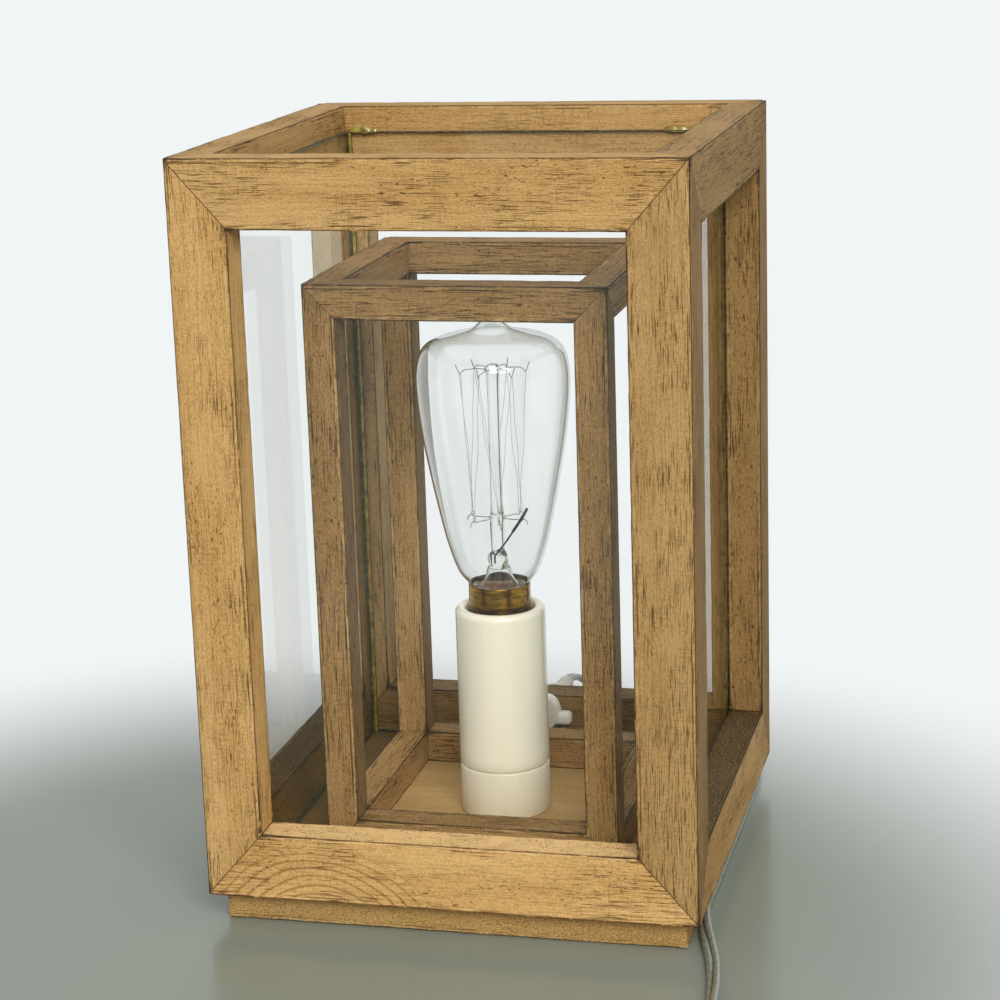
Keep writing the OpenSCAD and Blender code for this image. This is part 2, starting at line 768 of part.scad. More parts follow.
module switch_lower() {
    color(cord_tint) at_switch() difference() {
        switch_block(0, switch_z);
        switch_hollow();
        translate([screw_x, screw_y, 1.5]) cylinder(d = 2.2 + 2 * hole_gap, h = switch_h);
    }
}

module switch_upper() {
    color(cord_tint) at_switch() difference() {
        switch_block(switch_z, switch_h);
        switch_hollow();
        translate([screw_x, screw_y, 0]) cylinder(d = 2.2 + 2 * hole_gap, h = switch_h + 1);
        translate([screw_x, screw_y, switch_h - 1.6])
            cylinder(d = 4.4 + 2 * hole_gap, h = 2);
    }
}

module switch_wheel() {
    teeth = 28;
    color(white) at_switch() translate([wheel_x, 0, switch_z]) {
        translate([0, 0, -wheel_t / 2]) difference() {
            cylinder(d = wheel_d, h = wheel_t);
            for (k = [0 : teeth - 1]) rotate(360 * k / teeth)
                translate([wheel_d / 2 + 0.25, 0, -1]) cylinder(d = 1.1, h = wheel_t + 2, $fn = 4);
        }
        translate([0, 0, -wheel_t / 2 - 2.2]) cylinder(d = pin_d, h = wheel_t + 4.4);
    }
}

module switch_screw() {
    color(steel) at_switch() translate([screw_x, screw_y, 1.6 + hole_gap]) {
        cylinder(d = 2.2, h = switch_h - 3.2 - hole_gap);
        translate([0, 0, switch_h - 3.2 - hole_gap]) cylinder(d = 4.4, h = 1.4);
    }
}

// The spare lead: a coil of two layers that winds in, climbs one layer and winds out
coil_x = 72;
coil_y = -300;
coil_r = switch_x - coil_x;
coil_turns = 3;
coil_gap = 0.6;
tie_t = 0.8;
coil_pitch = cord_d + coil_gap;
coil_low = tie_t + 0.3 + cord_d / 2;
coil_mid = coil_turns + 0.25;
coil_tail = 20;
rings_per_turn = 24;

// Radius and height after t turns
function coil_radius(t) =
    let (u = t - coil_mid)
        abs(u) >= 0.25 ? coil_r - coil_pitch * (coil_mid - abs(u))
                       : coil_r - coil_pitch * (coil_turns + 0.125 - 2 * u * u);
function coil_height(t) =
    let (u = (t - coil_mid) / 0.25)
        coil_low + coil_pitch * (u < -1 ? 0 : u > 1 ? 1 : (1 - cos(90 * (u + 1))) / 2);
function coil_point(t) =
    [coil_x + coil_radius(t) * cos(360 * t), coil_y - coil_radius(t) * sin(360 * t),
     coil_height(t)];
coil_end_x = coil_x - coil_r;
coil_route = concat(
    [[switch_x, coil_y + cord_d, coil_low]],
    [for (i = [0 : rings_per_turn * 2 * coil_mid]) coil_point(i / rings_per_turn)],
    [for (y = [cord_d, coil_tail / 2 + 3, coil_tail])
        [coil_end_x, coil_y + y, coil_low + coil_pitch]]);

// Least gap between stretches of the coil that aren't neighbours
coil_gaps = [
    for (i = [0 : len(coil_route) - 1], j = [i + 8 : 1 : len(coil_route) - 1])
        norm(coil_route[i] - coil_route[j]) - cord_d
];
echo(coil_least_gap = min(coil_gaps));

module cord_coil() { color(cord_tint) tube(coil_route, cord_d, 6); }

// From the switch to the coil
link_route = [
    [switch_x, switch_y - switch_l, switch_z], [switch_x, -242, switch_z],
    [switch_x, -253, 5.6], [switch_x, -266, 4.2], [switch_x, -280, coil_low],
    [switch_x, -288, coil_low], [switch_x, coil_y + cord_d, coil_low]
];
module cord_link() { color(cord_tint) tube(link_route, cord_d, 8); }

// A soft strap round all the turns at the front of the coil
tie_w = 8;
module cord_tie() {
    inner_y = coil_r - coil_pitch * (coil_turns + 0.125) - cord_d / 2 - 0.3;
    outer_y = coil_r + cord_d / 2 + 0.3;
    top_z = coil_low + coil_pitch + cord_d / 2 + 0.3;
    low_z = coil_low - cord_d / 2 - 0.3;
    color(black) translate([coil_x - tie_w / 2, coil_y, 0]) rotate([90, 0, 90])
        linear_extrude(tie_w) difference() {
            translate([-outer_y - tie_t, low_z - tie_t])
                square([outer_y - inner_y + 2 * tie_t, top_z - low_z + 2 * tie_t]);
            translate([-outer_y, low_z]) square([outer_y - inner_y, top_z - low_z]);
        }
}

// Plug: moulded body with a waist, and two flat blades
plug_z = coil_low + coil_pitch;
plug_y = coil_y + coil_tail;
module plug_body() {
    color(cord_tint) translate([coil_end_x, plug_y, plug_z]) difference() {
        rotate([-90, 0, 0]) hull() {
            cylinder(d = cord_d + 4, h = 1, $fn = 32);
            translate([0, 0, plug_l * 0.6]) scale([1, 2 * plug_z / plug_w, 1])
                cylinder(d = plug_w, h = plug_l * 0.4, $fn = 32);
        }
        for (sx = [-1, 1])
            translate([sx * blade_gap / 2 - 3.3, plug_l - 6, -0.9]) cube([6.6, 7, 1.8]);
    }
}

module plug_blades() {
    color(steel) for (sx = [-1, 1])
        translate([coil_end_x + sx * blade_gap / 2, plug_y + plug_l - 6, plug_z]) difference() {
            translate([-3.2, 0, -0.8]) cube([6.4, blade_l + 6, 1.6]);
            translate([0, blade_l + 2, -1]) cylinder(d = 3, h = 2);
        }
}

// ---------------------------------------------------------------- assembly

front_left_stile();
front_right_stile();
front_top_rail();
front_bottom_rail();
back_left_stile();
back_right_stile();
back_top_rail();
back_bottom_rail();
left_front_stile();
left_back_stile();
left_top_rail();
left_bottom_rail();
right_front_stile();
right_back_stile();
right_top_rail();
right_bottom_rail();
inner_front_left_post();
inner_front_right_post();
inner_back_left_post();
inner_back_right_post();
inner_top_rails();
inner_bottom_rails();
base_board();
floor_panel();
base_screws();
post_screws();
front_pane();
back_pane();
left_pane();
right_pane();
pane_glue();
socket_sleeve();
socket_foot_ring();
holder_body();
screw_shell();
centre_contact();
socket_nipple();
socket_nut();
terminal_screws();
bulb_cap();
cap_insulator();
cap_contact();
bulb_glass();
bulb_stem();
support_wires();
filament();
lead_wires();
inner_cord();
strain_relief();
cord_lead();
switch_lower();
switch_upper();
switch_wheel();
switch_screw();
cord_link();
cord_coil();
cord_tie();
plug_body();
plug_blades();
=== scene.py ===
"""Lantern table lamp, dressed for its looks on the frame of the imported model.

Metres, +Z up, the lamp's front towards -Y. The camera and the lead come first, then the
timber, the glass, the lampholder, the bulb, the fittings of the lead, and the studio.
"""

import math
import random

import bmesh
import bpy
from mathutils import Matrix, Vector, noise


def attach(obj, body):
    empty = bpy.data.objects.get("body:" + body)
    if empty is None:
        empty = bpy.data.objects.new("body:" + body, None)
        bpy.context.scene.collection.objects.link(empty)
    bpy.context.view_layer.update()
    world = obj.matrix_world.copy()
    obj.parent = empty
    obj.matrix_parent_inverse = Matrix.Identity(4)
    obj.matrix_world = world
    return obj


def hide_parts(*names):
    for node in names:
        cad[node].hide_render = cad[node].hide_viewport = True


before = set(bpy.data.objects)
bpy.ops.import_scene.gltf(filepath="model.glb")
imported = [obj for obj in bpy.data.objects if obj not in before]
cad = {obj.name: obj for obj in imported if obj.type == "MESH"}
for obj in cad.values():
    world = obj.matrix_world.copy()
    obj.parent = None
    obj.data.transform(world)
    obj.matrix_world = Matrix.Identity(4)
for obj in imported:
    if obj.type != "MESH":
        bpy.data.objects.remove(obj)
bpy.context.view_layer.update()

MM = 0.001
X, Y, Z = Vector((1, 0, 0)), Vector((0, 1, 0)), Vector((0, 0, 1))


def mm(x, y, z):
    return Vector((x, y, z)) * MM

# ---------------------------------------------------------------- real sizes, millimetres

FRAME_W, FRAME_H = 200, 296
STILE_W, RAIL_W, FRAME_T = 24, 27, 15
BASE_W, BASE_T = 188, 12
FLOOR_W, FLOOR_Z = 169, 18
INNER_W, INNER_H, INNER_T, INNER_RAIL_W = 122, 236, 13.5, 14
INSIDE = FRAME_W / 2 - FRAME_T
PANE_T, PANE_H = 2.5, 279
SLEEVE_R, SLEEVE_WALL = 19, 2
SLEEVE_Z, SLEEVE_TOP = 39, 108
CAP_R, CAP_TOP = 13, 118
BULB_R, BULB_H, NECK_R = 32, 114, 12.42
HOOK_TOP_Z, HOOK_TOP_R = 209, 13.5
HOOK_LOW_Z, HOOK_LOW_R = 146, 11.5
HOOKS = 6
CORD_W, CORD_T = 5.6, 2.9
RELIEF_Z, RELIEF_END = 32, 124
COIL_X, COIL_Y, COIL_R = 72, -300, 40
COIL_LOW, COIL_PITCH, COIL_MID = 3.9, 6.2, 3.25
PLUG = (32, -280, 10.1)

# ---------------------------------------------------------------- camera

AZIMUTH, ELEVATION, ROLL = 13.979, 14.422, -1.84
DISTANCE, FOCAL_PX = 1.068239, 2570.16
LOOKED_AT, SEEN_OFF = Vector((0, 0, 0.162)), (-3.866, -20.332)
SENSOR, PICTURE_PX = 36, 1000


def set_camera():
    """Puts the camera where the corners of the photographed frame say that it stood."""
    turn, rise, tilt = (math.radians(a) for a in (AZIMUTH, ELEVATION, ROLL))
    back = Vector(
        (math.sin(turn) * math.cos(rise), -math.cos(turn) * math.cos(rise), math.sin(rise))
    )
    level = (-back).cross(Z).normalized()
    upright = level.cross(-back)
    right = level * math.cos(tilt) + upright * math.sin(tilt)
    above = upright * math.cos(tilt) - level * math.sin(tilt)
    per_px = DISTANCE / FOCAL_PX
    lens = bpy.data.cameras.new("view")
    lens.sensor_width = SENSOR
    lens.lens = FOCAL_PX * SENSOR / PICTURE_PX
    lens.clip_start, lens.clip_end = 0.01, 60
    camera = bpy.data.objects.new("view", lens)
    camera.matrix_world = Matrix.Translation(
        LOOKED_AT
        + back * DISTANCE
        - right * SEEN_OFF[0] * per_px
        + above * SEEN_OFF[1] * per_px
    ) @ Matrix((right, above, back)).transposed().to_4x4()
    bpy.context.scene.collection.objects.link(camera)
    bpy.context.scene.camera = camera


set_camera()

# ---------------------------------------------------------------- finishes: the nodes


def tint(red, green, blue):
    """A paint chip's 0-255 colour as the shader's own linear colour."""
    parts = []
    for part in (red, green, blue):
        part /= 255
        parts.append(part / 12.92 if part <= 0.04045 else ((part + 0.055) / 1.055) ** 2.4)
    return (*parts, 1)


class Flow:
    """A number or a colour on its way between a finish's nodes."""

    def __init__(self, finish, socket):
        self.finish, self.socket = finish, socket

    def _sum(self, how, *parts):
        return self.finish.node("ShaderNodeMath", {"operation": how}, parts)

    def __add__(self, other):
        return self._sum("ADD", self, other)

    __radd__ = __add__

    def __sub__(self, other):
        return self._sum("SUBTRACT", self, other)

    def __rsub__(self, other):
        return self._sum("SUBTRACT", other, self)

    def __mul__(self, other):
        return self._sum("MULTIPLY", self, other)

    __rmul__ = __mul__

    def __truediv__(self, other):
        return self._sum("DIVIDE", self, other)

    def __rtruediv__(self, other):
        return self._sum("DIVIDE", other, self)

    def __pow__(self, other):
        return self._sum("POWER", self, other)

    def __abs__(self):
        return self._sum("ABSOLUTE", self)

    def least(self, other):
        return self._sum("MINIMUM", self, other)

    def most(self, other):
        return self._sum("MAXIMUM", self, other)

    def wave(self):
        return self._sum("SINE", self)

    def rise(self, start, end, low=0.0, high=1.0):
        """Goes smoothly from low at start to high at end, and stays there."""
        return self.finish.node(
            "ShaderNodeMapRange", {"interpolation_type": "SMOOTHSTEP"},
            {"Value": self, "From Min": start, "From Max": end, "To Min": low, "To Max": high},
        )


class Finish:
    """A material, or the world, built from nodes."""

    def __init__(self, name, world=None):
        self.material = world or bpy.data.materials.new(name)
        self.material.use_nodes = True
        self.tree = self.material.node_tree
        self.tree.nodes.clear()

    def node(self, kind, settings=None, values=None, out=0):
        made = self.tree.nodes.new(kind)
        for key, value in (settings or {}).items():
            setattr(made, key, value)
        pairs = values.items() if isinstance(values, dict) else enumerate(values or ())
        for key, value in pairs:
            if isinstance(value, Flow):
                self.tree.links.new(value.socket, made.inputs[key])
            elif value is not None:
                made.inputs[key].default_value = value
        return Flow(self, made.outputs[out])

    def lay(self, name):
        """The piece's own lay of the stuff, such as its grain, as a vector."""
        return self.node(
            "ShaderNodeAttribute", {"attribute_type": "GEOMETRY", "attribute_name": name},
            out="Vector",
        )

    def place(self):
        return self.node("ShaderNodeTexCoord", out="Object")

    def split(self, vector):
        parts = self.node("ShaderNodeSeparateXYZ", None, [vector]).socket.node
        return [Flow(self, parts.outputs[i]) for i in range(3)]

    def stretch(self, vector, x, y, z):
        return self.node("ShaderNodeVectorMath", {"operation": "MULTIPLY"}, [vector, (x, y, z)])

    def noise(self, vector, scale, detail=2.0, rough=0.5, bent=0.0):
        return self.node(
            "ShaderNodeTexNoise", None,
            {
                "Vector": vector, "Scale": scale, "Detail": detail, "Roughness": rough,
                "Distortion": bent,
            },
        )

    def mix(self, first, second, share, how="MIX"):
        """Two colours in one, by share."""
        return self.node(
            "ShaderNodeMix", {"data_type": "RGBA", "blend_type": how},
            {0: share, 6: first, 7: second}, out=2,
        )

    def bump(self, height, depth, strength=1.0):
        """A relief of that depth in metres."""
        return self.node(
            "ShaderNodeBump", None, {"Height": height, "Distance": depth, "Strength": strength},
        )

    def facing(self):
        """0 seen straight on, 1 seen edge on: for gloss alone."""
        return self.node("ShaderNodeLayerWeight", None, {"Blend": 0.5}, out="Facing")

    def skin(self, lets_light=False, **sockets):
        """Ends the finish with the surface's own values, and gives the material."""
        surface = self.node(
            "ShaderNodeBsdfPrincipled", None,
            {SOCKETS.get(name, name.capitalize()): value for name, value in sockets.items()},
        )
        if lets_light:
            path = self.node("ShaderNodeLightPath").socket.node.outputs
            light = Flow(self, path["Is Shadow Ray"]).most(Flow(self, path["Is Diffuse Ray"]))
            clear = self.node("ShaderNodeBsdfTransparent", None, [(0.96, 0.97, 0.96, 1)])
            surface = self.node("ShaderNodeMixShader", None, [light, surface, clear])
        return self.ends(surface)

    def ends(self, surface, kind="ShaderNodeOutputMaterial"):
        end = self.tree.nodes.new(kind)
        self.tree.links.new(surface.socket, end.inputs["Surface"])
        return self.material


SOCKETS = {
    "colour": "Base Color",
    "metal": "Metallic",
    "rough": "Roughness",
    "bend": "IOR",
    "see_through": "Transmission Weight",
    "gloss": "Specular IOR Level",
    "coat": "Coat Weight",
    "coat_rough": "Coat Roughness",
    "soft": "Subsurface Weight",
    "soft_depth": "Subsurface Scale",
    "relief": "Normal",
}

# ---------------------------------------------------------------- making pieces


def finished(bm, name, body, finishes, stands_for=(), smooth=35):
    """Makes the shape a piece of the lamp, which rides on a body."""
    mesh = bpy.data.meshes.new(name)
    bm.to_mesh(mesh)
    bm.free()
    mesh.shade_smooth()
    mesh.set_sharp_from_angle(angle=math.radians(smooth))
    piece = bpy.data.objects.new(name, mesh)
    bpy.context.scene.collection.objects.link(piece)
    for finish in finishes if isinstance(finishes, (list, tuple)) else [finishes]:
        mesh.materials.append(finish)
    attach(piece, body)
    if stands_for:
        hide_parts(*stands_for)
    return piece


def turned(profile, steps=96, closed=False):
    """A shape turned on the lathe round Z, from (radius, height) pairs in millimetres."""
    bm = bmesh.new()
    line = [bm.verts.new(mm(r, 0, z)) for r, z in profile]
    joined = list(zip(line, line[1:])) + ([(line[-1], line[0])] if closed else [])
    edges = [bm.edges.new(pair) for pair in joined]
    bmesh.ops.spin(
        bm, geom=line + edges, cent=(0, 0, 0), axis=Z, angle=math.radians(360), steps=steps,
        use_merge=True, use_duplicate=False,
    )
    bmesh.ops.remove_doubles(bm, verts=bm.verts, dist=1e-6)
    bmesh.ops.recalc_face_normals(bm, faces=bm.faces)
    return bm


def curved(points, steps):
    """A smooth line through the points, with that many steps in each stretch."""
    line = []
    for i in range(len(points) - 1):
        a, b = points[max(i - 1, 0)], points[i]
        c, d = points[i + 1], points[min(i + 2, len(points) - 1)]
        for k in range(steps):
            t = k / steps
            line.append(
                0.5
                * (
                    2 * b
                    + (c - a) * t
                    + (2 * a - 5 * b + 4 * c - d) * t * t
                    + (3 * b - a - 3 * c + d) * t * t * t
                )
            )
    return line + [points[-1].copy()]


def bearings(line, twist=None):
    """A place at each point of a line: Z runs along it, X lies level and Y up, unless twisted."""
    places, side = [], X
    for i, point in enumerate(line):
        ahead = (line[min(i + 1, len(line) - 1)] - line[max(i - 1, 0)]).normalized()
        level = Z.cross(ahead)
        if level.length > 0.05:
            side = level.normalized()
        else:
            side = (side - ahead * side.dot(ahead)).normalized()
        turn = Matrix((side, ahead.cross(side), ahead)).transposed()
        if twist:
            turn = turn @ Matrix.Rotation(math.radians(twist[i]), 3, "Z")
        places.append(Matrix.Translation(point) @ turn.to_4x4())
    return places


def drawn(bm, ring, places, sizes=None, along=None):
    """Draws a ring of edges at the origin through all the places, and closes both ends."""
    edges = edges_at(ring)
    start = edges[:]
    last, run = Matrix.Identity(4), 0.0
    for i, place in enumerate(places):
        now = place @ Matrix.Scale(sizes[i] if sizes else 1, 4)
        if i:
            made = bmesh.ops.extrude_edge_only(bm, edges=edges)["geom"]
            ring = [g for g in made if isinstance(g, bmesh.types.BMVert)]
            new = set(ring)
            edges = [
                g for g in made
                if isinstance(g, bmesh.types.BMEdge) and all(v in new for v in g.verts)
            ]
            run += (place.translation - places[i - 1].translation).length
        bmesh.ops.transform(bm, matrix=now @ last.inverted(), verts=ring)
        if along is not None:
            for v in ring:
                v[along] = (v[along][0], v[along][1], run)
        last = now
    bmesh.ops.edgeloop_fill(bm, edges=start)
    bmesh.ops.edgeloop_fill(bm, edges=edges)
    bmesh.ops.recalc_face_normals(bm, faces=bm.faces)


def wire(bm, line, thick, sides=8, sizes=None):
    """A round wire along a line, its thickness in millimetres."""
    made = bmesh.ops.create_circle(bm, cap_ends=False, segments=sides, radius=thick / 2 * MM)
    drawn(bm, made["verts"], bearings(line), sizes)


def saw(bm, at, facing):
    """Saws off all that lies past a plane, and closes the cut."""
    made = bmesh.ops.bisect_plane(
        bm, geom=bm.verts[:] + bm.edges[:] + bm.faces[:], plane_co=at, plane_no=facing,
        clear_outer=True,
    )
    rim = [e for e in made["geom_cut"] if isinstance(e, bmesh.types.BMEdge)]
    bmesh.ops.edgeloop_fill(bm, edges=rim)


def score(bm, at, facing):
    """Adds a row of edges where a plane meets the shape."""
    bmesh.ops.bisect_plane(
        bm, geom=bm.verts[:] + bm.edges[:] + bm.faces[:], plane_co=at, plane_no=facing
    )


def edges_at(verts):
    """All the edges that meet these points, always in the same order."""
    return list(dict.fromkeys(e for v in verts for e in v.link_edges))


def ease(bm, edges, width, segments=2):
    """Rounds edges to that width in millimetres."""
    bmesh.ops.bevel(
        bm, geom=edges, offset=width * MM, offset_type="OFFSET", segments=segments, profile=0.5,
        affect="EDGES", material=-1, clamp_overlap=True,
    )


def block(bm, low, high):
    """A block between two corners, in millimetres."""
    low, high = mm(*low), mm(*high)
    size = high - low
    return bmesh.ops.create_cube(
        bm, size=1, matrix=Matrix.Translation((low + high) / 2) @ Matrix.Diagonal((*size, 1)),
    )["verts"]


def copied(node):
    """A CAD node's own shape as one joined mesh, to be worked on as a new piece."""
    bm = bmesh.new()
    bm.from_mesh(cad[node].data)
    bmesh.ops.remove_doubles(bm, verts=bm.verts, dist=1e-6)
    bmesh.ops.dissolve_limit(bm, angle_limit=math.radians(0.6), verts=bm.verts, edges=bm.edges)
    return bm

# ---------------------------------------------------------------- the lead


def lead_route():
    """Out of the tail, down to the table, round the corner, along the right side under the
    frames' overhang and out at the front."""
    return [
        (0, 124, 32), (0, 130, 32), (1, 138, 30.5), (3, 147, 26.5), (6, 156, 20),
        (11, 165, 13), (19, 173, 7), (30, 178.5, 4), (43, 180, 3), (56, 176.5, 3),
        (67.5, 168, 3), (76.5, 156.5, 3), (83.5, 143, 3), (89, 128.5, 3), (93.2, 113.5, 3),
        (96, 98.5, 3), (97, 83, 3), (97, 62, 3), (97, 40, 3), (97, 16, 3), (97, -8, 3),
        (97, -32, 3), (97, -55, 3), (98.6, -73, 3), (102, -90, 3), (106, -107, 3),
        (109, -124, 3), (111, -140, 3), (112, -154, 3.6), (112, -166, 5.2),
        (112, -174, 6.5), (112, -180, 6.5),
    ]


def link_route():
    """Through the switch and on to the coil."""
    return [
        (112, -199, 6.5), (112, -217, 6.5), (112, -236, 6.5), (112, -242, 6.5),
        (112, -253, 5.6), (112, -266, 4.2), (112, -280, 3.9), (112, -288, 3.9), (112, -294.4, 3.9),
    ]


def coil_route(rings=24):
    """A layer that winds in, a climb of one turn's thickness, and a layer that winds out."""
    points = []
    for k in range(int(rings * 2 * COIL_MID) + 1):
        turn = k / rings
        u = turn - COIL_MID
        if abs(u) >= 0.25:
            radius = COIL_R - COIL_PITCH * (COIL_MID - abs(u))
        else:
            radius = COIL_R - COIL_PITCH * (COIL_MID - 0.125 - 2 * u * u)
        climb = min(max(u / 0.25, -1), 1)
        height = COIL_LOW + COIL_PITCH * (1 - math.cos(math.pi / 2 * (climb + 1))) / 2
        angle = 2 * math.pi * turn
        points.append(
            (COIL_X + radius * math.cos(angle), COIL_Y - radius * math.sin(angle), height)
        )
    return points


def tail_route():
    """Straight off the coil to the plug."""
    return [(32, COIL_Y + y, COIL_LOW + COIL_PITCH) for y in (CORD_W, 13, 20)]


# How far the flat lead is turned on edge, in degrees, at points of its route: it drops
# flat, stands on edge beside the base board, and stands on edge again in the coil
LEAD_TURNED = (
    (0, 0), (11, 0), (15, 90), (22, 90), (24, 14), (25, 8), (26, 26), (27, 46), (28, 50),
    (29, 30), (30, 8), (31, 0),
)
LINK_TURNED = ((0, 0), (3, 0), (4, 16), (5, 42), (6, 68), (7, 84), (8, 90))
TAIL_TURNED = ((0, 88), (1, 60), (2, 20))


def between(marks, at):
    """The value at a place between marks of (place, value)."""
    for (a, low), (b, high) in zip(marks, marks[1:]):
        if at <= b:
            return low + (high - low) * (at - a) / (b - a)
    return marks[-1][1]


def cord_finish():
    """Clear soft plastic over two bundles of bright strands, with painted shade in the groove
    between them.
    """
    f = Finish("clear_lead")
    across, up, run = f.split(f.lay("lay"))
    lobe = (abs(across) - 1.35) / 1.45
    winding = (run * 900 + lobe * 2.4 + up * 0.9).wave()
    strands = 1.0 - abs(lobe).rise(0.25, 0.95)
    # Painted shade: the groove between the two cores is darkened
    groove_shade = 1.0 - abs(across).rise(0.1, 0.7)
    cloud = f.noise(f.stretch(f.lay("lay"), 0.6, 0.6, 260), 1, 2)
    copper = f.mix(tint(118, 122, 110), tint(140, 144, 130), winding * 0.5 + 0.5)
    clear = f.mix(tint(122, 130, 116), copper, strands * 0.7)
    shade = f.mix(clear, tint(58, 64, 50), groove_shade * 0.8 + cloud * 0.2)
    return f.skin(
        colour=shade, rough=0.2 + cloud * 0.16, gloss=0.5, coat=0.35, coat_rough=0.15,
        relief=f.bump(winding * strands, 0.00006, 0.2),
    )


def twin_outline(bm):
    """The twin lead's outline, two round cores side by side, and each point's lay in it."""
    lay = bm.verts.layers.float_vector.new("lay")
    offset, r = (CORD_W - CORD_T) / 2, CORD_T / 2
    ring = []
    for side in (1, -1):
        for a in (math.radians(d) for d in range(-60, 241, 30)):
            across, up = side * (offset + r * math.sin(a)), side * r * math.cos(a)
            v = bm.verts.new(mm(across, up, 0))
            v[lay] = (across, up, 0)
            ring.append(v)
    for a, b in zip(ring, ring[1:] + ring[:1]):
        bm.edges.new((a, b))
    return ring, lay


def make_lead(finish):
    """One flat twin lead from the strain relief, through the switch, to the plug."""
    stretches = [
        (lead_route(), LEAD_TURNED), (link_route(), LINK_TURNED), (coil_route(), ((0, 90),)),
        (tail_route(), TAIL_TURNED),
    ]
    route, on_edge = [], []
    for k, (stretch, marks) in enumerate(stretches):
        for i, (x, y, z) in enumerate(stretch):
            turn = between(marks, i)
            # The stand-in on this route is round: the flat lead sinks until it lies on the
            # table, and leans on the base board where it stands beside it
            lean = math.sin(math.radians(turn))
            if k == 0 and z < 3.4:
                z = CORD_T / 2 + (CORD_W - CORD_T) / 2 * lean + 0.14
                x -= 1.3 * lean if 11 < i < 25 else 0
            elif k == 0 and z < 6.2:
                z -= 0.8
            route.append(mm(x, y, z))
            on_edge.append(turn)
    steps = 3
    line = curved(route, steps)
    turns = [
        (1 - k / steps) * a + k / steps * b
        for a, b in zip(on_edge, on_edge[1:])
        for k in range(steps)
    ] + [on_edge[-1]]
    bm = bmesh.new()
    ring, lay = twin_outline(bm)
    drawn(bm, ring, bearings(line, turns), along=lay)
    piece = finished(
        bm, "flat_twin_lead", "lantern", finish,
        ("cord_lead", "cord_link", "cord_coil"), smooth=60,
    )
    return piece, line


lead, lead_line = make_lead(cord_finish())

# ---------------------------------------------------------------- timber


